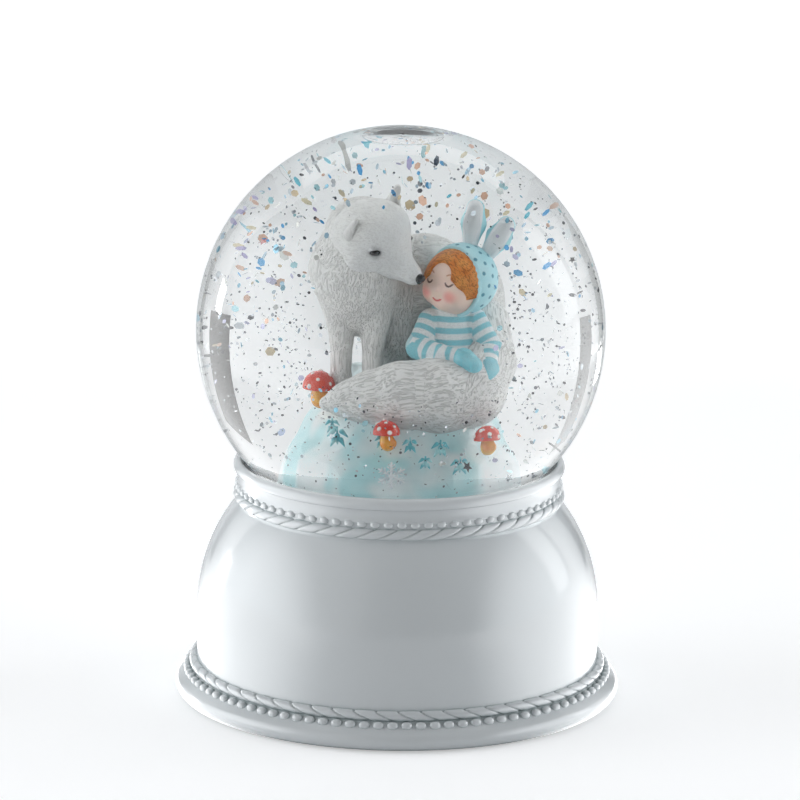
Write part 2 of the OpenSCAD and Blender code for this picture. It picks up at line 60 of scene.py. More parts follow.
# ---------------------------------------------------------------------------------------------------------------
# Meshes
# ---------------------------------------------------------------------------------------------------------------


class MeshMaker:
    """Turns arrays in millimetres into Blender objects in metres."""

    @staticmethod
    def solid(name: str, points: np.ndarray, faces: Iterable[Sequence[int]], smooth: bool = True) -> bpy.types.Object:
        """Makes a mesh object.

        Args:
            name: the piece's name.
            points: vertices in millimetres, one row each.
            faces: vertex indices of each face.
            smooth: whether its faces are shaded smooth.

        Returns:
            The new object, linked to the scene.
        """
        mesh = bpy.data.meshes.new(name)
        if isinstance(faces, np.ndarray) and faces.ndim == 2:
            count, size = faces.shape
            mesh.vertices.add(len(points))
            mesh.vertices.foreach_set("co", (np.asarray(points, float) * MM).ravel())
            mesh.loops.add(count * size)
            mesh.loops.foreach_set("vertex_index", faces.astype(np.int32).ravel())
            mesh.polygons.add(count)
            mesh.polygons.foreach_set("loop_start", np.arange(0, count * size, size, dtype=np.int32))
            mesh.update(calc_edges=True)
        else:
            mesh.from_pydata((np.asarray(points, float) * MM).tolist(), [], [list(f) for f in faces])
        mesh.validate()
        mesh.shade_smooth() if smooth else mesh.shade_flat()
        piece = bpy.data.objects.new(name, mesh)
        bpy.context.scene.collection.objects.link(piece)
        return piece

    @staticmethod
    def turn(profile: Sequence[tuple[float, float]], steps: int, closed: bool = True) -> tuple[np.ndarray, np.ndarray]:
        """Spins an outline of (radius, height) round Z.

        Args:
            profile: outline points, in millimetres, walked so that the solid lies on the left.
            steps: how many steps make the full turn.
            closed: whether the last point joins the first.

        Returns:
            Vertices and four-sided faces.
        """
        line = np.asarray(profile, float)
        turn = np.linspace(0, 2 * math.pi, steps, endpoint=False)
        points = np.stack(
            [np.outer(np.cos(turn), line[:, 0]), np.outer(np.sin(turn), line[:, 0]), np.tile(line[:, 1], (steps, 1))],
            axis=2,
        ).reshape(-1, 3)
        n = len(line)
        rows = np.arange(n if closed else n - 1)
        i, j = np.meshgrid(np.arange(steps), rows, indexing="ij")
        i, j = i.ravel(), j.ravel()
        k, m = (i + 1) % steps, (j + 1) % n
        return points, np.stack([i * n + j, k * n + j, k * n + m, i * n + m], axis=1)

    @staticmethod
    def arc(centre: tuple[float, float], radius: float, start: float, end: float,
            steps: int) -> list[tuple[float, float]]:
        """Points along an arc of an outline.

        Args:
            centre: the arc's centre, as (radius, height).
            radius: the arc's radius.
            start: first angle in degrees.
            end: last angle in degrees.
            steps: number of points.

        Returns:
            The points in order.
        """
        return [
            (centre[0] + radius * math.cos(a), centre[1] + radius * math.sin(a))
            for a in np.radians(np.linspace(start, end, steps))
        ]

    @staticmethod
    def paint(piece: bpy.types.Object, values: np.ndarray) -> None:
        """Stores one painted colour per vertex.

        Args:
            piece: the object.
            values: rows of three numbers.
        """
        layer = piece.data.color_attributes.new("paint", "FLOAT_COLOR", "POINT")
        rgba = np.ones((len(values), 4), np.float32)
        rgba[:, :3] = values
        layer.data.foreach_set("color", rgba.ravel())

    @staticmethod
    def grain(piece: bpy.types.Object, values: np.ndarray) -> None:
        """Stores one direction-following coordinate per vertex.

        Args:
            piece: the object.
            values: rows of three numbers.
        """
        layer = piece.data.attributes.new("grain", "FLOAT_VECTOR", "POINT")
        layer.data.foreach_set("vector", np.asarray(values, np.float32).ravel())

    @staticmethod
    def points_of(piece: bpy.types.Object) -> np.ndarray:
        """The piece's vertices in millimetres."""
        flat = np.zeros(len(piece.data.vertices) * 3, np.float32)
        piece.data.vertices.foreach_get("co", flat)
        return flat.reshape(-1, 3).astype(float) / MM


class Spine:
    """A run of joined points with a radius each, along which hair or knitting runs."""

    def __init__(self, stops: Sequence[tuple[Point, float]]) -> None:
        """Keeps the stops as arrays."""
        self.points = np.array([s[0] for s in stops], float)
        self.radii = np.array([s[1] for s in stops], float)

    def follow(self, points: np.ndarray) -> tuple[np.ndarray, np.ndarray, np.ndarray]:
        """Finds where points lie along the run.

        Args:
            points: positions in millimetres.

        Returns:
            Distance along the run, the offset from its axis in a frame that turns with it, and distance off it.
        """
        best = np.full(len(points), 1e9)
        along = np.zeros(len(points))
        offset = np.zeros((len(points), 3))
        run = 0.0
        for a, b in zip(self.points[:-1], self.points[1:]):
            step = b - a
            size = float(np.linalg.norm(step))
            t = np.clip(((points - a) @ step) / size**2, -0.15, 1.15)
            off = points - (a + t[:, None] * step)
            away = np.linalg.norm(off, axis=1)
            side = np.cross(step / size, (0, 0, 1) if abs(step[2]) < 0.9 * size else (0, 1, 0))
            side /= np.linalg.norm(side)
            rise = np.cross(side, step / size)
            mine = away < best
            best[mine] = away[mine]
            along[mine] = run + t[mine] * size
            offset[mine] = np.stack([off @ side, off @ rise, np.zeros(len(off))], axis=1)[mine]
            run += size
        return along, offset, best


class Clay:
    """Modelling clay: distances to the surface on a grid of voxels, in millimetres."""

    def __init__(self, low: Point, high: Point, voxel: float) -> None:
        """Sets out the block.

        Args:
            low: lowest corner.
            high: highest corner.
            voxel: the grid's step.
        """
        self.voxel = voxel
        self.low = np.array(low, float)
        size = np.ceil((np.array(high, float) - self.low) / voxel).astype(int) + 1
        axes = [(self.low[i] + voxel * np.arange(size[i])).astype(np.float32) for i in range(3)]
        self.x, self.y, self.z = axes[0][:, None, None], axes[1][None, :, None], axes[2][None, None, :]
        self.shape = tuple(size)
        self.dist = np.full(self.shape, 50.0, np.float32)

    def ball(self, c: Point, r: float) -> np.ndarray:
        """Distance to a ball."""
        return np.sqrt((self.x - c[0]) ** 2 + (self.y - c[1]) ** 2 + (self.z - c[2]) ** 2) - r

    def egg(self, c: Point, radii: Point, tip: float = 0.0, yaw: float = 0.0) -> np.ndarray:
        """Distance to an ellipsoid.

        Args:
            c: centre.
            radii: half sizes before turning.
            tip: turn about X, in degrees.
            yaw: turn about Z after that, in degrees.

        Returns:
            The distances.
        """
        cy, sy = math.cos(-math.radians(yaw)), math.sin(-math.radians(yaw))
        ct, st = math.cos(-math.radians(tip)), math.sin(-math.radians(tip))
        x, y, z = self.x - c[0], self.y - c[1], self.z - c[2]
        x, y = x * cy - y * sy, x * sy + y * cy
        y, z = y * ct - z * st, y * st + z * ct
        near = np.sqrt((x / radii[0]) ** 2 + (y / radii[1]) ** 2 + (z / radii[2]) ** 2)
        far = np.sqrt((x / radii[0] ** 2) ** 2 + (y / radii[1] ** 2) ** 2 + (z / radii[2] ** 2) ** 2)
        return near * (near - 1) / np.maximum(far, 1e-6)

    def limb(self, a: Point, ra: float, b: Point, rb: float) -> np.ndarray:
        """Distance to a rounded, tapering limb.

        Args:
            a: one end.
            ra: the radius there.
            b: the other end.
            rb: the radius there.

        Returns:
            The distances.
        """
        d = np.array(b, float) - np.array(a, float)
        t = ((self.x - a[0]) * d[0] + (self.y - a[1]) * d[1] + (self.z - a[2]) * d[2]) / float(d @ d)
        t = np.clip(t, 0, 1)
        gap = (self.x - a[0] - t * d[0]) ** 2 + (self.y - a[1] - t * d[1]) ** 2 + (self.z - a[2] - t * d[2]) ** 2
        return np.sqrt(gap) - (ra + t * (rb - ra))

    def add(self, dist: np.ndarray, blend: float = 0.6) -> "Clay":
        """Presses more clay on.

        Args:
            dist: distances to the added shape.
            blend: how far the join is smoothed.

        Returns:
            The clay itself.
        """
        h = np.clip(0.5 + 0.5 * (self.dist - dist) / blend, 0, 1)
        self.dist = self.dist * (1 - h) + dist * h - blend * h * (1 - h)
        return self

    def cut(self, dist: np.ndarray, blend: float = 0.3) -> "Clay":
        """Takes clay away.

        Args:
            dist: distances to the shape that is taken away.
            blend: how far the edge is rounded.

        Returns:
            The clay itself.
        """
        h = np.clip(0.5 - 0.5 * (self.dist + dist) / blend, 0, 1)
        self.dist = self.dist * (1 - h) - dist * h + blend * h * (1 - h)
        return self

    def reach(self, start: Point, way: Point) -> float:
        """Finds how far the surface lies from a point inside.

        Args:
            start: the point.
            way: the direction, of length 1.

        Returns:
            The distance.
        """
        for far in np.arange(0.0, 20.0, 0.5 * self.voxel):
            i, j, k = np.round((np.asarray(start) + far * np.asarray(way) - self.low) / self.voxel).astype(int)
            if self.dist[i, j, k] > 0:
                return float(far)
        return 0.0

    def run(self, stops: Sequence[tuple[Point, float]], blend: float = 0.6) -> "Clay":
        """Adds a chain of limbs.

        Args:
            stops: (point, radius) of each joint in the chain.
            blend: how far the joins are smoothed.

        Returns:
            The clay itself.
        """
        for (a, ra), (b, rb) in zip(stops[:-1], stops[1:]):
            self.add(self.limb(a, ra, b, rb), blend)
        return self

    def mesh(self, name: str) -> bpy.types.Object:
        """Skins the clay as a smooth closed mesh.

        Args:
            name: the piece's name.

        Returns:
            The piece.
        """
        grid = vdb.FloatGrid()
        grid.background = 3 * self.voxel
        grid.copyFromArray(np.clip(self.dist, -3 * self.voxel, 3 * self.voxel).astype(np.float32))
        points, quads = grid.convertToQuads()
        return MeshMaker.solid(name, points * self.voxel + self.low, np.asarray(quads, np.int32))


# ---------------------------------------------------------------------------------------------------------------
# Finishes
# ---------------------------------------------------------------------------------------------------------------


class Wiring:
    """A node tree with short ways to place nodes and to join them."""

    def __init__(self, tree: bpy.types.NodeTree) -> None:
        """Works on this tree."""
        self.tree = tree

    def feed(self, socket: Socket, value: object) -> None:
        """Gives an input its value.

        Args:
            socket: the input.
            value: a plain value, a colour with or without its alpha, or the socket that feeds it.
        """
        if isinstance(value, bpy.types.NodeSocket):
            self.tree.links.new(value, socket)
        else:
            socket.default_value = (*value, 1) if isinstance(value, tuple) and len(value) == 3 else value

    def node(self, kind: str, values: dict | None = None, **settings: object) -> bpy.types.Node:
        """Adds a node.

        Args:
            kind: the node's type, without its leading ShaderNode.
            values: for each input, what feeds it.
            settings: the node's properties.

        Returns:
            The node.
        """
        made = self.tree.nodes.new("ShaderNode" + kind)
        for key, value in settings.items():
            setattr(made, key, value)
        for key, value in (values or {}).items():
            self.feed(made.inputs[key], value)
        return made

    def maths(self, operation: str, *values: object, clamp: bool = False) -> Socket:
        """Adds a sum.

        Args:
            operation: the kind of sum.
            values: what feeds each of its inputs.
            clamp: whether the result stays between 0 and 1.

        Returns:
            The result.
        """
        return self.node("Math", dict(enumerate(values)), operation=operation, use_clamp=clamp).outputs[0]

    def spread(self, value: object, low: float, high: float, start: float = 0.0, end: float = 1.0,
               smooth: bool = False) -> Socket:
        """Maps one range onto another and holds the ends.

        Args:
            value: what to map.
            low: where the first range starts.
            high: where the first range ends.
            start: what low becomes.
            end: what high becomes.
            smooth: whether it eases in and out.

        Returns:
            The mapped value.
        """
        values = {"Value": value, "From Min": low, "From Max": high, "To Min": start, "To Max": end}
        return self.node("MapRange", values, interpolation_type="SMOOTHSTEP" if smooth else "LINEAR").outputs[0]

    def blend(self, factor: object, a: object, b: object, kind: str = "MIX") -> Socket:
        """Mixes two colours.

        Args:
            factor: how much of the second shows.
            a: the first colour.
            b: the second colour.
            kind: how they mix.

        Returns:
            The mixed colour.
        """
        values = {"Factor": factor, "A": a, "B": b}
        return self.node("Mix", values, data_type="RGBA", blend_type=kind).outputs["Result"]


class Effects:
    """Node groups shared by the finishes, each built once."""

    WHITE = (1.0, 1.0, 1.0, 1.0)
    GREY = (0.5, 0.5, 0.5, 1.0)
    _made: dict[str, bpy.types.NodeTree] = {}

    @classmethod
    def _group(cls, name: str, inputs: dict[str, object],
               fill: Callable[[Wiring, Sockets], Sockets]) -> bpy.types.NodeTree:
        """Builds a group the first time it is asked for.

        Args:
            name: the group's name.
            inputs: each input with its default, a number or a colour.
            fill: places the nodes between the inputs and the outputs, and returns what feeds each output.

        Returns:
            The group.
        """
        if name not in cls._made:
            group = cls._made[name] = bpy.data.node_groups.new(name, "ShaderNodeTree")
            for label, start in inputs.items():
                kind = "NodeSocketColor" if isinstance(start, tuple) else "NodeSocketFloat"
                group.interface.new_socket(label, in_out="INPUT", socket_type=kind).default_value = start
            source = group.nodes.new("NodeGroupInput")
            results = fill(Wiring(group), {label: source.outputs[label] for label in inputs})
            for label in results:
                kind = "NodeSocketColor" if label == "Colour" else "NodeSocketFloat"
                group.interface.new_socket(label, in_out="OUTPUT", socket_type=kind)
            out = group.nodes.new("NodeGroupOutput")
            for label, socket in results.items():
                group.links.new(socket, out.inputs[label])
        return cls._made[name]

    @classmethod
    def mottle(cls) -> bpy.types.NodeTree:
        """Soft cloudy variation between two colours, with a height for a matching bump."""

        def fill(wiring: Wiring, given: Sockets) -> Sockets:
            """Wires the group."""
            where = wiring.node("TexCoord").outputs["Object"]
            cloud = wiring.node("TexNoise", {"Vector": where, "Scale": given["Scale"], "Detail": 5}).outputs["Fac"]
            share = wiring.maths("MULTIPLY", wiring.spread(cloud, 0.35, 0.68), given["Amount"])
            return {"Colour": wiring.blend(share, given["Light"], given["Dark"]), "Height": cloud, "Mask": share}

        return cls._group("Mottle", {"Light": cls.WHITE, "Dark": cls.GREY, "Scale": 100.0, "Amount": 0.5}, fill)

    @classmethod
    def strokes(cls) -> bpy.types.NodeTree:
        """Combed tool strokes that follow the piece's own grain coordinate."""

        def fill(wiring: Wiring, given: Sockets) -> Sockets:
            """Wires the group."""
            grain = wiring.node("Attribute", attribute_name="grain").outputs["Vector"]
            cuts = []
            for factor, detail in ((1.0, 0.6), (1.7, 0.3)):
                scale = wiring.maths("MULTIPLY", given["Scale"], factor)
                hair = wiring.node("TexNoise", {"Vector": grain, "Scale": scale, "Detail": detail, "Distortion": 0.25})
                cuts.append(wiring.spread(hair.outputs["Fac"], 0.33, 0.43))
            groove = wiring.maths("MULTIPLY", *cuts)
            fade = wiring.maths("MULTIPLY", wiring.maths("SUBTRACT", 1.0, groove), given["Depth"])
            return {"Colour": wiring.blend(fade, given["Light"], given["Dark"]), "Height": groove, "Groove": fade}

        return cls._group("Combed strokes", {"Light": cls.WHITE, "Dark": cls.GREY, "Scale": 2.0, "Depth": 1.0}, fill)

    @classmethod
    def wear(cls) -> bpy.types.NodeTree:
        """Picks out raised edges and fine scuffs."""

        def fill(wiring: Wiring, given: Sockets) -> Sockets:
            """Wires the group."""
            raised = wiring.spread(wiring.node("NewGeometry").outputs["Pointiness"], 0.51, 0.6)
            where = wiring.node("TexCoord").outputs["Object"]
            scuffs = wiring.node("TexNoise", {"Vector": where, "Scale": 900, "Detail": 6}).outputs["Fac"]
            share = wiring.maths("MULTIPLY", raised, given["Amount"])
            rough = wiring.maths("MULTIPLY_ADD", scuffs, given["Scuff"], given["Roughness"])
            return {"Colour": wiring.blend(share, given["Colour"], given["Worn"]), "Roughness": rough, "Height": scuffs}

        inputs = {"Colour": cls.WHITE, "Worn": cls.WHITE, "Amount": 0.3, "Roughness": 0.3, "Scuff": 0.15}
        return cls._group("Edge wear", inputs, fill)


class Bench(Wiring):
    """A material under construction, with its Principled shader."""

    def __init__(self, name: str) -> None:
        """Starts an empty material of this name."""
        self.material = bpy.data.materials.new(name)
        self.material.use_nodes = True
        super().__init__(self.material.node_tree)
        self.shader = self.tree.nodes["Principled BSDF"]

    def group(self, tree: bpy.types.NodeTree, **values: object) -> bpy.types.Node:
        """Places an effect group with its own values."""
        return self.node("Group", values, node_tree=tree)

    def set(self, **values: object) -> None:
        """Feeds the shader's inputs, by socket name with _ for a space."""
        for key, value in values.items():
            self.feed(self.shader.inputs[key.replace("_", " ")], value)

    def bump(self, height: Socket, distance: float) -> None:
        """Drives the shader's normal from a height; distance is in millimetres."""
        made = self.node("Bump", {"Height": height, "Distance": distance * MM, "Strength": 1.0})
        self.set(Normal=made.outputs["Normal"])

    def dabbed(self, dark: Colour, scale: float, amount: float) -> tuple[Socket, Socket]:
        """Takes the colour painted on the vertices and dabs a darker tone over it.

        Args:
            dark: the darker tone.
            scale: how fine the dabs are.
            amount: how strong they are.

        Returns:
            The colour and a height for a matching bump.
        """
        paint = self.node("Attribute", attribute_name="paint").outputs["Color"]
        cloud = self.group(Effects.mottle(), Light=(1.0, 1.0, 1.0), Dark=dark, Scale=scale, Amount=amount)
        return self.blend(1.0, paint, cloud.outputs["Colour"], "MULTIPLY"), cloud.outputs["Height"]

    def over(self, share: Socket, under: Socket, top: Socket) -> Socket:
        """Lays one shader over another, as far as share says."""
        return self.node("MixShader", {0: share, 1: under, 2: top}).outputs[0]

    def show(self, shader: Socket) -> None:
        """Makes this shader the one that is seen."""
        self.feed(self.tree.nodes["Material Output"].inputs["Surface"], shader)


@dataclass(frozen=True)
class MouldedPlastic:
    """Injection-moulded plastic or lacquered resin; it can carry painted shade that darkens its narrow gaps."""

    name: str
    colour: Colour
    shade: Colour
    roughness: float = 0.25
    coat: float = 0.0
    grain: float = 0.01
    mottle_scale: float = 60.0
    painted_crevice_shade: bool = False

    def build(self) -> bpy.types.Material:
        """Makes the material."""
        bench = Bench(self.name)
        cloud = bench.group(Effects.mottle(), Light=self.colour, Dark=self.shade, Scale=self.mottle_scale, Amount=0.35)
        wear = bench.group(Effects.wear(), Colour=cloud.outputs["Colour"], Worn=self.colour, Amount=0.3,
                           Roughness=self.roughness, Scuff=0.05)
        colour = wear.outputs["Colour"]
        if self.painted_crevice_shade:
            # painted shade: ambient occlusion darkens the narrow gaps between the mouldings towards a grey-green
            near = bench.node("AmbientOcclusion", {"Distance": 0.0014}, samples=6)
            colour = bench.blend(bench.spread(near.outputs["AO"], 0.2, 0.85), (0.42, 0.48, 0.49), colour)
        bench.set(Base_Color=colour, Roughness=wear.outputs["Roughness"], Coat_Weight=self.coat, Coat_Roughness=0.03,
                  IOR=1.5)
        bench.bump(wear.outputs["Height"], self.grain)
        return bench.material


@dataclass(frozen=True)
class BareMetal:
    """Plated or brushed metal."""

    name: str
    colour: Colour
    shade: Colour
    roughness: float = 0.28

    def build(self) -> bpy.types.Material:
        """Makes the material."""
        bench = Bench(self.name)
        cloud = bench.group(Effects.mottle(), Light=self.colour, Dark=self.shade, Scale=700.0, Amount=0.6)
        wear = bench.group(Effects.wear(), Colour=cloud.outputs["Colour"], Worn=(0.9, 0.9, 0.9), Amount=0.5,
                           Roughness=self.roughness, Scuff=0.2)
        bench.set(Base_Color=wear.outputs["Colour"], Roughness=wear.outputs["Roughness"], Metallic=1.0)
        bench.bump(cloud.outputs["Height"], 0.01)
        return bench.material


@dataclass(frozen=True)
class PaintedResin:
    """Cast resin with hand-painted colour kept on its vertices; combed adds strokes along its grain."""

    name: str
    roughness: float = 0.5
    wash: Colour = (0.5, 0.5, 0.5)
    combed: float = 0.0
    stroke_scale: float = 2.0
    stroke_depth: float = 0.12
    pitting: float = 0.02
    coat: float = 0.0
    subsurface: float = 0.0

    def build(self) -> bpy.types.Material:
        """Makes the material."""
        bench = Bench(self.name)
        (colour, height), depth = bench.dabbed((0.93, 0.93, 0.94), 420.0, 0.6), self.pitting
        if self.combed:
            comb = bench.group(Effects.strokes(), Light=colour, Dark=self.wash, Scale=self.stroke_scale,
                               Depth=self.combed)
            colour, height, depth = comb.outputs["Colour"], comb.outputs["Height"], self.stroke_depth
        bench.set(Base_Color=colour, Roughness=self.roughness, Coat_Weight=self.coat, Coat_Roughness=0.1,
                  Subsurface_Weight=self.subsurface, Subsurface_Scale=0.001)
        bench.bump(height, depth)
        return bench.material


@dataclass(frozen=True)
class ClearGlass:
    """Clear glass or liquid boundary; the bend of light through it is set by its index."""

    name: str
    index: float
    tint: Colour = (1.0, 1.0, 1.0)

    def build(self) -> bpy.types.Material:
        """Makes the material; lamps shine straight through it, so that what is inside is lit."""
        bench = Bench(self.name)
        bench.set(Base_Color=self.tint, Roughness=0.0, IOR=self.index, Transmission_Weight=1.0)
        from_lamp = bench.node("LightPath").outputs["Is Shadow Ray"]
        bench.show(bench.over(from_lamp, bench.shader.outputs[0], bench.node("BsdfTransparent").outputs[0]))
        return bench.material


@dataclass(frozen=True)
class Unseen:
    """The side of the filling that touches the glass: drawn by the glass itself, so it stays clear."""

    name: str

    def build(self) -> bpy.types.Material:
        """Makes the material."""
        bench = Bench(self.name)
        bench.set(Base_Color=(0.9, 1.0, 0.98), Alpha=0.0, Roughness=0.1, Specular_IOR_Level=0.0)
        return bench.material


@dataclass(frozen=True)
class Foil:
    """Thin shining film, coloured flake by flake."""

    name: str
    roughness: float = 0.18
    metallic: float = 0.85

    def build(self) -> bpy.types.Material:
        """Makes the material."""
        bench = Bench(self.name)
        colour, height = bench.dabbed((0.75, 0.78, 0.85), 1500.0, 0.5)
        bench.set(Base_Color=colour, Metallic=self.metallic, Roughness=self.roughness)
        bench.bump(height, 0.02)
        return bench.material


class Finish(Enum):
    """Every finish on the globe."""

    SHELL = MouldedPlastic("Glossy white shell", (0.745, 0.775, 0.79), (0.72, 0.755, 0.77), 0.16, 0.5, 0.0006, 40.0,
                           painted_crevice_shade=True)
    PLATE = MouldedPlastic("Satin white plate", (0.83, 0.84, 0.85), (0.78, 0.79, 0.81), 0.42, 0.0, 0.02, 90.0)
    OPAL = MouldedPlastic("Opal window", (0.92, 0.93, 0.94), (0.86, 0.88, 0.9), 0.5, 0.0, 0.02, 200.0)
    CLEAR_RUBBER = MouldedPlastic("Milky stopper", (0.86, 0.89, 0.9), (0.78, 0.82, 0.84), 0.45, 0.0, 0.02, 120.0)
    GREY_RUBBER = MouldedPlastic("Grey rubber", (0.42, 0.43, 0.45), (0.34, 0.35, 0.37), 0.75, 0.0, 0.05, 600.0)
    BUTTON = MouldedPlastic("Grey button", (0.6, 0.62, 0.66), (0.54, 0.56, 0.6), 0.3, 0.1, 0.01, 150.0)
    NAVY = MouldedPlastic("Switch case", (0.03, 0.05, 0.14), (0.02, 0.03, 0.09), 0.4, 0.0, 0.02, 300.0)
    BLACK = MouldedPlastic("Black plastic", (0.02, 0.02, 0.025), (0.035, 0.035, 0.04), 0.45, 0.0, 0.02, 500.0)
    BEAD = MouldedPlastic("Black glass bead", (0.012, 0.012, 0.014), (0.02, 0.02, 0.02), 0.08, 1.0, 0.0005, 400.0)
    LENS = MouldedPlastic("Lamp lens", (0.86, 0.88, 0.92), (0.8, 0.84, 0.9), 0.1, 0.5, 0.002, 200.0)
    WHITE_BOARD = MouldedPlastic("White board", (0.8, 0.81, 0.78), (0.7, 0.72, 0.68), 0.45, 0.0, 0.015, 350.0)
    GREEN_BOARD = MouldedPlastic("Green board", (0.02, 0.2, 0.09), (0.01, 0.14, 0.06), 0.35, 0.2, 0.02, 350.0)
    SLEEVE = MouldedPlastic("Cell sleeve", (0.05, 0.16, 0.3), (0.04, 0.12, 0.24), 0.3, 0.3, 0.004, 200.0)
    RED_LEAD = MouldedPlastic("Red lead", (0.5, 0.03, 0.02), (0.4, 0.02, 0.02), 0.45, 0.0, 0.01, 300.0)
    BLACK_LEAD = MouldedPlastic("Black lead", (0.015, 0.015, 0.016), (0.03, 0.03, 0.03), 0.5, 0.0, 0.01, 300.0)
    WHITE_LEAD = MouldedPlastic("White lead", (0.75, 0.75, 0.72), (0.66, 0.66, 0.64), 0.5, 0.0, 0.01, 300.0)
    STEEL = BareMetal("Plated steel", (0.62, 0.63, 0.65), (0.5, 0.51, 0.53))
    GLASS = ClearGlass("Blown glass", 1.5)
    GLASS_WET = ClearGlass("Blown glass against liquid", 1.5 / 1.333, (0.985, 1.0, 0.995))
    LIQUID_TOP = ClearGlass("Liquid surface", 1.333)
    LIQUID_SIDE = Unseen("Liquid side")
    SILICONE = ClearGlass("Clear seal", 1.41)
    FUR = PaintedResin("White fur resin", 0.55, (0.6, 0.6, 0.58), 0.45, 2.5, 0.2)
    TAIL_FUR = PaintedResin("Combed tail resin", 0.5, (0.45, 0.45, 0.43), 0.55, 2.1, 0.14)
    FACE_FUR = PaintedResin("Smooth fur resin", 0.5, (0.6, 0.59, 0.58), 0.35, 2.6, 0.05)
    SKIN = PaintedResin("Painted skin", 0.42, pitting=0.004, coat=0.1, subsurface=0.15)
    KNIT = PaintedResin("Painted knit", 0.6, (0.5, 0.6, 0.63), 0.25, 3.0, 0.06)
    HOOD = PaintedResin("Painted hood", 0.5, pitting=0.02)
    HAIR = PaintedResin("Painted hair", 0.4, (0.32, 0.09, 0.02), 0.6, 2.6, 0.12)
    ICE = PaintedResin("Painted ice", 0.38, pitting=0.1, coat=0.25)
    TOADSTOOL = PaintedResin("Painted toadstool", 0.25, pitting=0.02, coat=0.5)
    LEAF = PaintedResin("Painted leaf", 0.45, pitting=0.04, coat=0.1)
    GLITTER = Foil("Film glitter", 0.2, 0.4)
    SILVER = Foil("Silver stars", 0.12, 1.0)


_built: dict[Finish, bpy.types.Material] = {}


def finish_of(kind: Finish) -> bpy.types.Material:
    """The finish's material, built the first time it is asked for."""
    if kind not in _built:
        _built[kind] = kind.value.build()
    return _built[kind]


def dress(piece: bpy.types.Object, *kinds: Finish) -> bpy.types.Object:
    """Puts finishes on a piece.

    Args:
        piece: the piece.
        kinds: its finishes, in slot order.

    Returns:
        The piece.
    """
    piece.data.materials.clear()
    for kind in kinds:
        piece.data.materials.append(finish_of(kind))
    return piece


def place(piece: bpy.types.Object, slot: str, *nodes: str) -> bpy.types.Object:
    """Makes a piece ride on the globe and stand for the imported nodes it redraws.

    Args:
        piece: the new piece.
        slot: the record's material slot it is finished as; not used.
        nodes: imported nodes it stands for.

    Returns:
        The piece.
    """
    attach(piece, BODY)
    if nodes:
        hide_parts(*nodes)
    LOG.info("%s: %d faces", piece.name, len(piece.data.polygons))
    return piece


def spots(count: int, seed: int = 0) -> np.ndarray:
    """Spreads directions evenly over a ball.

    Args:
        count: how many.
        seed: turns the whole pattern.

    Returns:
        One row for each direction.
    """
    i = np.arange(count) + 0.5
    h = 1 - 2 * i / count
    a = 2.39996 * i + seed
    return np.stack([np.sqrt(1 - h**2) * np.cos(a), np.sqrt(1 - h**2) * np.sin(a), h], axis=1)


def mix(a: np.ndarray | Colour, b: np.ndarray | Colour, t: np.ndarray) -> np.ndarray:
    """Blends colours row by row."""
    t = np.clip(t, 0, 1)[:, None]
    return np.asarray(a) * (1 - t) + np.asarray(b) * t


def ramp(x: np.ndarray, low: float, high: float) -> np.ndarray:
    """0 below low, 1 above high, smooth between."""
    t = np.clip((x - low) / (high - low), 0, 1)
    return t * t * (3 - 2 * t)


def rough_field(points: np.ndarray, size: float, seed: int) -> np.ndarray:
    """Cheap smooth noise from a few crossed waves, between about -1 and 1.

    Args:
        points: positions in millimetres.
        size: typical width of a lump.
        seed: picks the waves.

    Returns:
        One value per point.
    """
    rng = np.random.default_rng(seed)
    total = np.zeros(len(points))
    for _ in range(7):
        wave = rng.normal(size=3) / size * 2.2
        total += np.sin(points @ wave + rng.uniform(0, 6.28))
    return total / 3.5


# ---------------------------------------------------------------------------------------------------------------
# Base
# ---------------------------------------------------------------------------------------------------------------


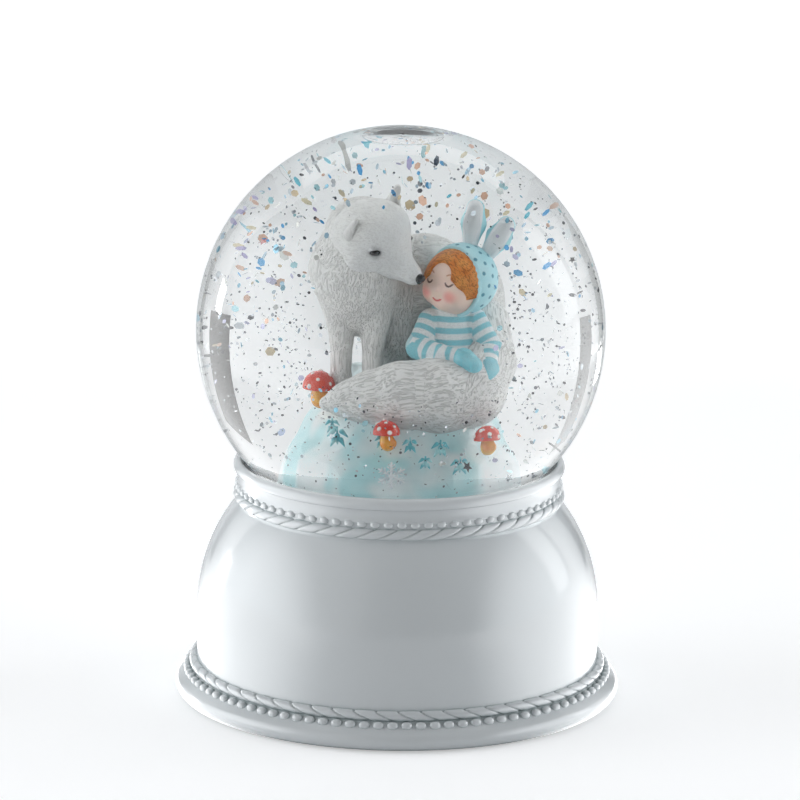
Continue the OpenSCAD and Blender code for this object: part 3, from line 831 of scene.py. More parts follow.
@dataclass
class Housing:
    """The moulded base: foot, belly, collar, two rope mouldings and two rows of beads."""

    wall: float = 2.2
    foot_roll: float = 2.5
    rim: float = 0.4
    lip: float = 40.6
    lip_roll: float = 1.6
    seat: float = 50.6
    shoulder: float = 41.9
    tube: float = 1.45
    bead: float = 0.86
    steps: int = 288
    foot: float = field(init=False)
    height: float = field(init=False)
    ball_z: float = field(init=False)

    def __post_init__(self) -> None:
        """Reads the driving sizes off the frame."""
        low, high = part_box("base_housing")
        self.foot = high.x / MM
        self.height = high.z / MM
        self.ball_z = self.height + 32.3

    @property
    def belly(self) -> float:
        """Radius of the straight part of the belly."""
        return self.foot - 5.2

    @property
    def rope(self) -> float:
        """Radius of the collar's rope moulding."""
        return self.lip - 0.7

    def outline(self) -> list[tuple[float, float]]:
        """The wall's outline, up the outside and down the inside."""
        arc = MeshMaker.arc
        top = self.height - 10.2
        start = top - 27.2
        centre = self.belly - self.shoulder
        inner = self.shoulder - self.wall
        room = self.height - 13.4
        line: list[tuple[float, float]] = [(self.belly - self.wall, self.rim)]
        line += arc((self.foot - self.foot_roll, self.rim + self.foot_roll), self.foot_roll, -90, 42, 22)
        line += [(self.foot - 1.3, 5.1), (self.foot - 2.1, 5.75), (self.foot - 2.9, 6.3), (self.foot - 3.9, 7.0)]
        line += [(self.belly + 0.5, 7.6), (self.belly + 0.12, 9.0), (self.belly, 10.2)]
        line += [(self.belly, z) for z in np.linspace(11.5, start, 8)]
        crest = math.degrees(math.asin((top - 0.4 - start) / self.shoulder))
        line += arc((centre, start), self.shoulder, 1, crest, 56)
        high, rope = self.height, self.rope
        line += [(rope - 0.35, top + 0.6), (rope - 0.35, high - 7.0), (rope - 0.25, high - 6.2)]
        line += arc((rope + 3.6, high - 4.2), 4.1, 207, 149, 18)
        line += arc((self.lip - self.lip_roll, high - self.lip_roll), self.lip_roll, -48, 90, 22)
        line += [(38.9, high - 0.05), (38.7, high - 0.3)]
        seat = np.linspace(high - 0.8, high - 2.2, 4)
        line += [(math.sqrt(self.seat**2 - (self.ball_z - z) ** 2), z) for z in seat]
        line += [(37.4, high - 3.0), (37.4, high - 11.2), (17.8, high - 11.2), (17.8, high - 12.5)]
        line += [(16.0, high - 12.5), (16.0, room)]
        line += arc((centre, start), inner, math.degrees(math.asin((room - start) / inner)), 0, 24)
        return line

    def rope_ring(self, name: str, radius: float, height: float, strands: int, lean: float,
                  tube: float) -> bpy.types.Object:
        """A raised rope moulding: slanted barrel-shaped strands round a ring.

        Args:
            name: the piece's name.
            radius: radius of the ring.
            height: height of the ring.
            strands: how many strands show round the ring.
            lean: how far each strand leans, in strands, with its sign the way it leans.
            tube: radius of the rope.

        Returns:
            The ring.
        """
        around, sides = strands * 26, 32
        turn = np.linspace(0, 2 * math.pi, around, endpoint=False)[:, None]
        side = np.linspace(0, 2 * math.pi, sides, endpoint=False)[None, :]
        phase = (strands * turn / (2 * math.pi) + lean * np.sin(side) * 0.5) % 1.0
        barrel = np.abs(2 * phase - 1)
        swell = 1 - 0.07 * barrel**2 - 0.33 * np.clip((barrel - 0.84) / 0.16, 0, 1) ** 1.3
        r = tube * swell
        ring = radius + r * np.cos(side)
        points = np.stack([ring * np.cos(turn), ring * np.sin(turn), height + r * np.sin(side) + 0 * turn], axis=2)
        i, j = np.meshgrid(np.arange(around), np.arange(sides), indexing="ij")
        i, j = i.ravel(), j.ravel()
        k, m = (i + 1) % around, (j + 1) % sides
        faces = np.stack([i * sides + j, k * sides + j, k * sides + m, i * sides + m], axis=1)
        return dress(MeshMaker.solid(name, points.reshape(-1, 3), faces), Finish.SHELL)

    def bead_ring(self, name: str, radius: float, height: float, count: int, size: float) -> bpy.types.Object:
        """A row of round beads.

        Args:
            name: the piece's name.
            radius: radius of the row.
            height: height of the row.
            count: number of beads.
            size: a bead's radius.

        Returns:
            The row, as one piece.
        """
        rings, sides = 11, 20
        up = np.linspace(0, math.pi, rings)
        profile = [(size * math.sin(a), -size * math.cos(a)) for a in up]
        ball, quads = MeshMaker.turn(profile, sides, closed=False)
        ball = np.sign(ball) * np.abs(ball / size) ** 0.86 * size * (1.05, 1.42, 1.0)
        points, faces = [], []
        for i in range(count):
            a = 2 * math.pi * i / count
            spun = ball @ np.array([(math.cos(a), math.sin(a), 0), (-math.sin(a), math.cos(a), 0), (0, 0, 1)])
            points.append(spun + (radius * math.cos(a), radius * math.sin(a), height))
            faces.append(quads + i * len(ball))
        return dress(MeshMaker.solid(name, np.concatenate(points), np.concatenate(faces)), Finish.SHELL)

    def posts(self) -> bpy.types.Object:
        """Screw posts inside the housing, for the plate and for the lamp board."""
        points, faces, start = [], [], 0
        plan = [(42.97, a, 3.7, 17.7, 4.2, 1.2) for a in (90, 210, 330)]
        plan += [(21.0, a, 37.8, 46.2, 2.4, 1.0) for a in (30, 150, 270)]
        for at, angle, low, high, outer, bore in plan:
            line = [(bore, low + 0.2), (bore + 0.2, low), (outer - 0.3, low), (outer, low + 0.3)]
            line += [(outer, high), (bore, high)]
            ring, quads = MeshMaker.turn(line, 40)
            a = math.radians(angle)
            points.append(ring + (at * math.cos(a), at * math.sin(a), 0))
            faces.append(quads + start)
            start += len(ring)
        return dress(MeshMaker.solid("housing_posts", np.concatenate(points), np.concatenate(faces)), Finish.SHELL)

    def build(self) -> None:
        """Makes the housing with its mouldings."""
        points, faces = MeshMaker.turn(self.outline(), self.steps)
        shell = dress(MeshMaker.solid("housing_shell", points, faces), Finish.SHELL)
        place(shell, "white_shell", "base_housing")
        place(self.rope_ring("collar_rope", self.rope - 0.7, self.height - 8.85, 46, -0.95, self.tube), "white_shell")
        place(self.rope_ring("foot_rope", self.foot - 4.6, 8.3, 58, 0.8, self.tube - 0.15), "white_shell")
        place(self.bead_ring("collar_beads", self.rope - 0.5, self.height - 6.5, 77, self.bead), "white_shell")
        place(self.bead_ring("foot_beads", self.foot - 2.9, 6.35, 95, 1.12 * self.bead), "white_shell")
        place(self.posts(), "white_shell")


# ---------------------------------------------------------------------------------------------------------------
# Glass ball and filling
# ---------------------------------------------------------------------------------------------------------------


@dataclass
class Ball:
    """The blown ball with its neck, the liquid in it and the bubble under its flat top."""

    centre_z: float
    radius: float = 50.0
    wall: float = 2.4
    neck: float = 32.0
    neck_z: float = 51.0
    bubble: float = 1.0
    steps: int = 256

    def glass(self) -> None:
        """Makes the glass; its inner face changes where the liquid ends."""
        arc = MeshMaker.arc
        inner = self.radius - self.wall
        c = (0.0, self.centre_z)
        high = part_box("globe_glass")[1].z / MM - self.centre_z
        join = math.degrees(math.asin(high / self.radius))
        low = -math.degrees(math.acos(self.neck / self.radius))
        outer = [(self.neck - 0.6, self.neck_z), (self.neck, self.neck_z + 0.6)]
        outer += arc(c, self.radius, low, join - 1.6, 150)
        edge = self.radius * math.cos(math.radians(join))
        drops = ((0.985, 0.2), (0.93, 0.06), (0.86, 0.02), (0.7, 0.03), (0.5, 0.09), (0.3, 0.14), (0.15, 0.17))
        outer += [(edge * f, self.centre_z + high - d) for f, d in drops]
        outer += [(0.0005, self.centre_z + high - 0.18)]
        dry = math.degrees(math.asin((inner - self.bubble) / inner))
        inside = [(0.0005, self.centre_z + inner)] + arc(c, inner, 89, dry, 16)
        wet_from = len(outer) + len(inside) - 1
        inside += arc(c, inner, dry - 0.6, -math.degrees(math.acos((self.neck - self.wall) / inner)), 130)
        inside += [(self.neck - self.wall, self.neck_z + 0.6), (self.neck - self.wall + 0.4, self.neck_z)]
        line = outer + inside
        points, faces = MeshMaker.turn(line, self.steps)
        piece = dress(MeshMaker.solid("glass_ball", points, faces), Finish.GLASS, Finish.GLASS_WET)
        rows = np.tile(np.arange(len(line)), self.steps)
        wet = ((rows >= wet_from) & (rows < len(line) - 3)).astype(np.int32)
        piece.data.polygons.foreach_set("material_index", wet)
        place(piece, "clear_glass", "globe_glass")

    def liquid(self) -> None:
        """Makes the liquid: a clear side against the glass and a shining surface under the bubble."""
        r = self.radius - self.wall - 0.06
        top = self.radius - self.wall - self.bubble
        low, high = -math.degrees(math.asin((self.centre_z - 58.6) / r)), math.degrees(math.asin(top / r))
        line = [(0.0005, 58.6)] + MeshMaker.arc((0.0, self.centre_z), r, low, high, 60)
        rim = len(line) - 1
        edge = line[-1][0]
        line += [(edge * f, self.centre_z + top - d) for f, d in ((0.97, 0.06), (0.9, 0.1), (0.75, 0.12), (0.4, 0.12))]
        line += [(0.0005, self.centre_z + top - 0.12)]
        points, faces = MeshMaker.turn(line, 128)
        piece = dress(MeshMaker.solid("liquid_filling", points, faces), Finish.LIQUID_SIDE, Finish.LIQUID_TOP)
        rows = np.tile(np.arange(len(line)), 128)
        piece.data.polygons.foreach_set("material_index", ((rows >= rim) & (rows < len(line) - 1)).astype(np.int32))
        place(piece, "liquid", "liquid")

    def build(self) -> None:
        """Makes the glass and its filling."""
        self.glass()
        self.liquid()


# ---------------------------------------------------------------------------------------------------------------
# Figures
# ---------------------------------------------------------------------------------------------------------------


def tint_by_depth(points: np.ndarray, base: Colour, low: Colour, seed: int) -> np.ndarray:
    """A painter's uneven base coat: patches of a second colour."""
    return mix(base, low, 0.5 + 0.5 * rough_field(points, 5.0, seed))


@dataclass
class Mound:
    """The ice-rock mound, its snowflake relief and its leaves."""

    foot_z: float = 58.5
    voxel: float = 0.28
    relief_lean: float = -8.0

    def rock(self) -> None:
        """Models chipped ice rising from the stopper."""
        clay = Clay((-25.5, -25.5, 57.5), (25.5, 25.5, 84.5), self.voxel)
        r = np.sqrt(clay.x**2 + clay.y**2)
        turn = np.arctan2(clay.y, clay.x)
        z = clay.z
        # broad flat chips of ice, easing into a snowy shelf above
        rng = np.random.default_rng(4)
        flank = 22.6 - 0.15 * np.clip(z - 60, 0, 8) - 0.62 * np.clip(z - 67, 0, 20)
        body = (r - flank) * 0.85
        for a in np.arange(0, 360, 24.0):
            b = math.radians(a + rng.uniform(-5, 5))
            tilt = math.radians(rng.uniform(4, 16))
            at = rng.uniform(20.4, 21.6)
            plane = (clay.x * math.cos(b) + clay.y * math.sin(b) - at) * math.cos(tilt) + (z - 66) * math.sin(tilt)
            body = np.maximum(body, plane)
        for _ in range(34):
            b = rng.uniform(0, 2 * math.pi)
            tilt = math.radians(rng.uniform(18, 48))
            at = rng.uniform(19.2, 21.0)
            plane = (clay.x * math.cos(b) + clay.y * math.sin(b) - at) * math.cos(tilt)
            plane = plane + (z - rng.uniform(68, 73)) * math.sin(tilt)
            body = np.maximum(body, np.where(np.cos(turn - b) > 0.9, plane, -9.0))
        clay.add(np.maximum(body, self.foot_z - z), 0.1)
        cap = clay.egg((0.5, 0.0, 73.0), (17.5, 17.0, 8.6))
        clay.add(np.maximum(cap, self.foot_z - z), 1.8)
        clay.cut(z - self.foot_z, 0.05)
        piece = clay.mesh("ice_mound")
        p = MeshMaker.points_of(piece)
        a = np.arctan2(p[:, 1], p[:, 0])
        run = 0.5 + 0.5 * np.sin(6 * a + 0.6 + 1.3 * rough_field(p, 7, 3))
        lift = ramp(p[:, 2], 70, 78)
        colour = mix((0.76, 0.88, 0.89), (0.44, 0.75, 0.78), ramp(run, 0.1, 0.95) * (1 - 0.7 * lift))
        colour = mix(colour, (0.5, 0.8, 0.83), ramp(rough_field(p, 4.0, 8), -0.3, 1.0) * 0.5)
        colour = mix(colour, (0.86, 0.91, 0.92), ramp(rough_field(p, 5.0, 5), -0.1, 1.2) * 0.8)
        colour = mix(colour, (0.88, 0.92, 0.93), 0.85 * ramp(p[:, 0] - 0.2 * p[:, 1], 17.5, 21.0))
        MeshMaker.paint(piece, colour)
        place(dress(piece, Finish.ICE), "ice_paint", "mound")

    def relief(self) -> None:
        """A raised six-armed snowflake on the mound's front."""
        low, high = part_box("snowflake_relief")
        c = (low + high) / 2 / MM
        clay = Clay(low / MM - Vector((0.6, 0.9, 0.6)), high / MM + Vector((0.6, 0.5, 0.6)), 0.09)
        lean = math.radians(self.relief_lean)
        side = np.array((math.cos(lean), math.sin(lean), 0.0))
        for i in range(6):
            a = math.radians(60 * i + 90)
            way = side * math.cos(a) + np.array((0, 0, 1.0)) * math.sin(a)
            start = np.array(c) - np.array((0.0, 0.15, 0.0))
            clay.add(clay.limb(start, 0.28, start + 3.1 * way, 0.22), 0.12)
            for at, size in ((0.8, 0.7), (1.45, 1.1), (2.15, 0.85)):
                for turn in (-1, 1):
                    b = a + turn * math.radians(52)
                    twig = side * math.cos(b) + np.array((0, 0, 1.0)) * math.sin(b)
                    clay.add(clay.limb(start + at * way, 0.2, start + at * way + size * twig, 0.15), 0.1)
        piece = clay.mesh("snowflake")
        p = MeshMaker.points_of(piece)
        MeshMaker.paint(piece, mix((0.86, 0.9, 0.92), (0.6, 0.68, 0.72), ramp(rough_field(p, 0.8, 2), 0.0, 1.0)))
        place(dress(piece, Finish.ICE), "ice_paint", "snowflake_relief")

    def leaves(self) -> None:
        """Small pointed leaves in pairs at the toadstools' feet."""
        clay = Clay((-17, -25.2, 63), (18, -8, 82), 0.14)
        sprigs = [
            (-12.6, -17.6, 75.6, -1, 1.15), (-3.6, -20.6, 74.6, 1, 0.8), (2.2, -20.8, 74.0, 1, 0.9),
            (8.4, -20.2, 73.4, 1, 1.0), (12.6, -19.6, 69.6, 1, 1.1), (-9.6, -13.0, 79.6, 1, 0.9),
            (-13.4, -14.8, 77.0, -1, 0.8), (5.4, -21.4, 70.0, -1, 0.8),
        ]
        blades = ((0, -2.0, 0), (-1.1, -1.0, -48), (1.1, -1.0, 48), (-0.8, -2.6, -28), (0.8, -2.6, 28))
        for x, y, z, way, size in sprigs:
            root = np.array((x, y, z))
            for k, (dx, dz, a) in enumerate(blades):
                at = root + size * np.array((way * dx, -0.25 - 0.12 * k, dz))
                b = math.radians(a * way)
                tip = at + size * np.array((math.sin(b), -0.25, -math.cos(b)))
                clay.add(clay.limb(at - 0.4 * (tip - at), 0.5 * size, tip, 0.12 * size), 0.12)
            clay.add(clay.limb(root, 0.22, root + size * np.array((0, -0.4, -3.0)), 0.15), 0.15)
        piece = clay.mesh("mound_leaves")
        p = MeshMaker.points_of(piece)
        MeshMaker.paint(piece, mix((0.12, 0.5, 0.58), (0.45, 0.78, 0.8), ramp(rough_field(p, 1.2, 6), -0.3, 0.9)))
        place(dress(piece, Finish.LEAF), "leaf_paint", "leaves")

    def build(self) -> None:
        """Makes the mound with its trimmings."""
        self.rock()
        self.relief()
        self.leaves()


@dataclass
class Toadstools:
    """Three spotted toadstools: (x, y, foot height, cap radius, stem height)."""

    plan: tuple[tuple[float, ...], ...] = (
        (-15.4, -7.0, 78.0, 3.2, 4.4),
        (-2.7, -21.3, 71.0, 2.8, 4.4),
        (17.8, -17.2, 69.5, 2.8, 4.2),
    )

    def build(self) -> None:
        """Makes the caps and the stems."""
        caps = Clay((-20, -25.5, 68), (21.5, -3, 87), 0.16)
        stems = Clay((-19, -24, 67), (20.5, -4, 84), 0.18)
        dots: list[tuple[np.ndarray, float]] = []
        for n, (x, y, z, r, stem) in enumerate(self.plan):
            top = z + stem
            dome = np.maximum(caps.egg((x, y, top - 0.35), (r, r, r * 0.98)), top - 0.75 - caps.z)
            caps.add(dome, 0.05)
            caps.cut(caps.egg((x, y, top - 1.0), (r * 0.78, r * 0.78, 0.8)), 0.3)
            stops = [((x + 0.3, y, z + 1.7), 0.56 * r), ((x + 0.2, y, z + 2.2), 0.54 * r)]
            stems.run(stops + [((x, y, top - 0.9), 0.44 * r)], 0.3)
            stems.add(stems.egg((x + 0.55 * r, y - 0.5, z + 1.9), (0.6, 0.6, 0.8)), 0.4)
            for k, d in enumerate(spots(22, n)):
                if d[2] > 0.05:
                    at = np.array((x, y, top - 0.35)) + d * r
                    size = (0.42, 0.3, 0.36)[k % 3]
                    caps.add(caps.ball(at - 0.1 * d, size), 0.12)
                    dots.append((at, size + 0.03))
        piece = caps.mesh("toadstool_caps")
        p = MeshMaker.points_of(piece)
        colour = mix((0.60, 0.012, 0.006), (0.74, 0.05, 0.008), 0.5 + 0.5 * rough_field(p, 2.0, 1))
        for at, size in dots:
            colour = mix(colour, (0.93, 0.9, 0.86), 1 - ramp(np.linalg.norm(p - at, axis=1), size - 0.03, size + 0.1))
        MeshMaker.paint(piece, colour)
        place(dress(piece, Finish.TOADSTOOL), "red_paint", "mushroom_caps")
        piece = stems.mesh("toadstool_stems")
        p = MeshMaker.points_of(piece)
        MeshMaker.paint(piece, mix((0.78, 0.24, 0.01), (0.88, 0.5, 0.05), 0.5 + 0.5 * rough_field(p, 1.3, 9)))
        place(dress(piece, Finish.TOADSTOOL), "orange_paint", "mushroom_stems")


@dataclass
class Fox:
    """The white fox: body, head, ears, tail, bead eyes and nose."""

    voxel: float = 0.24
    head: tuple[float, float, float] = (-5.4, -2.2, 109.6)
    muzzle: tuple[float, float, float] = (2.9, -8.8, 104.2)
    eyes: list[np.ndarray] = field(default_factory=list)

    def body(self) -> None:
        """Models neck, chest, back, haunch and forelegs."""
        clay = Clay((-19, -12, 80.5), (22, 19, 119.5), self.voxel)
        clay.run([((-7.6, 1.0, 110.2), 7.1), ((-8.2, 0.6, 103.0), 8.9), ((-7.8, 0.4, 97.6), 7.2)], 1.5)
        clay.run([((-4.5, 4.0, 98.0), 8.3), ((4.0, 7.5, 98.6), 8.3), ((9.5, 8.0, 96.0), 8.2)], 1.5)
        clay.run([((9.5, 8.0, 95.5), 8.2), ((11.6, 5.6, 87.5), 7.8)], 2.0)
        clay.add(clay.egg((-8.0, -2.4, 101.5), (6.8, 6.4, 7.6)), 2.5)
        clay.add(clay.egg((-1.0, 3.2, 91.5), (6.5, 6.0, 8.5)), 1.5)
        for stops in ([((-11.2, -2.6, 95.0), 3.2), ((-11.1, -3.8, 90.5), 2.15), ((-11.1, -4.6, 83.6), 1.95)],
                      [((-11.1, -4.8, 83.4), 2.0), ((-11.4, -6.4, 82.8), 1.8)],
                      [((-5.0, -3.4, 95.0), 3.4), ((-5.1, -4.6, 90.5), 2.1), ((-5.3, -5.8, 84.0), 1.9)],
                      [((-5.3, -6.0, 83.6), 1.95), ((-5.6, -7.6, 82.9), 1.75)]):
            clay.run(stops, 0.7)
        clay.cut(clay.z - 81.6, 0.1)
        piece = clay.mesh("fox_coat")
        p = MeshMaker.points_of(piece)
        front = Spine([((-5.5, -1, 114), 6), ((-8.2, 0, 102), 9), ((-8.5, -1.5, 93), 6), ((-9, -4, 82), 2)])
        back = Spine([((-9, 2, 100), 8), ((2, 6.5, 99), 8), ((10, 8.5, 96), 8), ((12.5, 6, 86), 8)])
        a1, o1, _ = front.follow(p)
        a2, o2, _ = back.follow(p)
        w = ramp(p[:, 0] + 0.8 * p[:, 1], -2.5, 3.5)[:, None]
        one = np.column_stack([0.16 * a1, o1[:, 0], o1[:, 1]])
        two = np.column_stack([0.16 * a2, o2[:, 0], o2[:, 1]])
        wave = 0.35 * rough_field(p, 5.0, 12)[:, None]
        MeshMaker.grain(piece, np.where(w > 0.5, two, one) + np.hstack([0 * wave, wave, wave]))
        colour = tint_by_depth(p, (0.92, 0.915, 0.89), (0.87, 0.865, 0.845), 21)
        # painted shade: the coat turns grey low down, where the legs meet the mound
        colour = mix(colour, (0.74, 0.74, 0.74), 0.5 * (1 - ramp(p[:, 2], 82, 90)))
        MeshMaker.paint(piece, colour)
        place(dress(piece, Finish.FUR), "white_fur", "fox_body")

    def face(self) -> None:
        """Models the head: brow, cheeks, tapering muzzle and a fringe of cheek fur."""
        h, m = np.array(self.head), np.array(self.muzzle)
        clay = Clay((-16.5, -14, 98), (8.5, 8, 120.5), 0.17)
        way = (m - h) / np.linalg.norm(m - h)
        side = np.cross(way, (0, 0, 1))
        side /= np.linalg.norm(side)
        clay.add(clay.egg(h + np.array((-0.8, 0.0, 0.6)), (8.3, 6.9, 7.6), 0, -34), 0.2)
        clay.add(clay.limb(h + 3.2 * way + (0, 0, -0.6), 4.3, m - 1.6 * way, 2.1), 2.4)
        clay.add(clay.limb(m - 2.5 * way + (0, 0, 0.1), 2.1, m - 0.5 * way, 1.55), 0.6)
        clay.add(clay.egg(h + np.array((0.7, 1.4, 2.7)), (6.2, 5.6, 5.3)), 1.5)
        for s in (-1, 1):
            clay.add(clay.egg(h + s * 4.4 * side + (0, 0, -3.6) - 0.2 * way, (3.2, 3.2, 3.4)), 2.0)
            clay.add(clay.ball(h + 3.6 * way + s * 2.6 * side + (0, 0, 1.6), 1.9), 1.4)
        mouth = m - 1.0 * way + np.array((0, 0, -1.0))
        for s in (1, -1):
            clay.cut(clay.limb(mouth - 3.2 * way + s * 1.9 * side, 0.12, mouth, 0.16), 0.3)
        eyes = self.eye_places()
        for n, e in enumerate(eyes):
            out = (e - h) / np.linalg.norm(e - h)
            eyes[n] = e = h + clay.reach(h, out) * out
            lid = e - 0.55 * out
            clay.add(clay.limb(lid + 0.75 * side + (0, 0, 0.5), 0.5, lid - 0.75 * side + (0, 0, 0.6), 0.5), 0.7)
            clay.cut(clay.egg(e + 0.1 * out, (1.15, 0.9, 0.62), 0, 8), 0.2)
        self.eyes = eyes
        piece = clay.mesh("fox_head_cast")
        p = MeshMaker.points_of(piece)
        q = p - h
        run = q @ way
        colour = tint_by_depth(p, (0.92, 0.915, 0.895), (0.87, 0.87, 0.85), 22)
        colour = mix(colour, (0.80, 0.81, 0.81), 0.8 * ramp(run, -1.0, 3.2))
        for e in eyes:
            colour = mix(colour, (0.3, 0.3, 0.31), 0.55 * (1 - ramp(np.linalg.norm(p - e, axis=1), 0.8, 1.9)))
        MeshMaker.paint(piece, colour)
        around = np.column_stack([0.3 * run, q @ side, q[:, 2]])
        MeshMaker.grain(piece, around)
        place(dress(piece, Finish.FACE_FUR), "white_fur", "fox_head")

    def eye_places(self) -> list[np.ndarray]:
        """Centres of the two eye beads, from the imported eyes."""
        low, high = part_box("fox_eyes")
        near = (low + Vector((0.75, 0.75, 0.75)) * MM) / MM
        far = (high - Vector((0.75, 0.75, 0.75)) * MM) / MM
        return [np.array((near.x, near.y - 0.15, near.z)), np.array((far.x, far.y - 0.1, far.z))]

    def ears(self) -> None:
        """Models two hollow pointed ears, the near one folded forward."""
        clay = Clay((-14, -10, 109), (3, 6, 123), 0.16)
        for base, tip, r, open_way in (((-2.0, 1.4, 115.7), (-1.0, 1.8, 119.5), 1.8, (0.3, -0.9, 0.1)),
                                       ((-10.0, -6.2, 112.4), (-9.3, -7.3, 115.7), 1.7, (0.8, -0.6, 0.1))):
            way = np.array(open_way)
            clay.add(clay.limb(base, r, tip, 0.7), 0.4)
            mouth = np.array(base) + 1.3 * way + (0, 0, 0.3)
            clay.cut(clay.limb(mouth, r * 0.62, np.array(tip) + 0.7 * way, 0.25), 0.35)
        piece = clay.mesh("fox_ears_cast")
        p = MeshMaker.points_of(piece)
        MeshMaker.paint(piece, tint_by_depth(p, (0.9, 0.895, 0.875), (0.82, 0.815, 0.8), 23))
        MeshMaker.grain(piece, p * (1, 1, 0.2))
        place(dress(piece, Finish.FACE_FUR), "white_fur", "fox_ears")

    def tail(self) -> None:
        """Models the bushy tail that sweeps round the front to a point."""
        stops = [((15.5, 2.5, 92.5), 4.4), ((16.0, -3.5, 86.5), 5.4), ((13.6, -9.4, 82.0), 6.7),
                 ((7.0, -12.2, 81.4), 7.3), ((0.0, -13.0, 81.4), 6.6), ((-6.0, -12.8, 81.0), 5.0),
                 ((-10.5, -12.4, 80.4), 3.3), ((-14.4, -12.0, 79.6), 1.4)]
        clay = Clay((-17.5, -21.5, 72.5), (24.5, 8, 98), 0.2)
        clay.run(stops, 1.8)
        piece = clay.mesh("fox_tail_cast")
        p = MeshMaker.points_of(piece)
        along, off, _ = Spine(stops).follow(p)
        wave = 0.5 * rough_field(p, 6.0, 31)
        MeshMaker.grain(piece, np.column_stack([0.085 * along, off[:, 0] + wave, off[:, 1] + wave]))
        colour = tint_by_depth(p, (0.92, 0.915, 0.895), (0.86, 0.855, 0.84), 24)
        # painted shade: the tail's underside darkens to blue-grey where it lies on the mound
        MeshMaker.paint(piece, mix(colour, (0.6, 0.62, 0.64), 0.5 * (1 - ramp(p[:, 2], 76, 80))))
        place(dress(piece, Finish.TAIL_FUR), "white_fur", "fox_tail")

    def beads(self) -> None:
        """Makes the eyes and the nose as glossy beads."""
        clay = Clay((-8, -12.5, 106), (4, 3, 112.5), 0.1)
        h = np.array(self.head)
        for e in self.eyes:
            clay.add(clay.egg(e - 0.3 * (e - h) / np.linalg.norm(e - h), (1.02, 0.8, 0.6), 0, 8), 0.05)
        place(dress(clay.mesh("fox_eye_beads"), Finish.BEAD), "black_bead", "fox_eyes")
        m = np.array(self.muzzle)
        clay = Clay(m - 2.6, m + 3.2, 0.1)
        clay.add(clay.egg(m + np.array((0.6, -0.45, 0.2)), (1.25, 1.1, 0.95), 0, -35), 0.05)
        clay.add(clay.egg(m + np.array((0.55, -0.4, -0.5)), (0.6, 0.6, 0.6)), 0.4)
        place(dress(clay.mesh("fox_nose_bead"), Finish.BEAD), "black_bead", "fox_nose")

    def build(self) -> None:
        """Makes the whole fox."""
        self.body()
        self.face()
        self.ears()
        self.tail()
        self.beads()


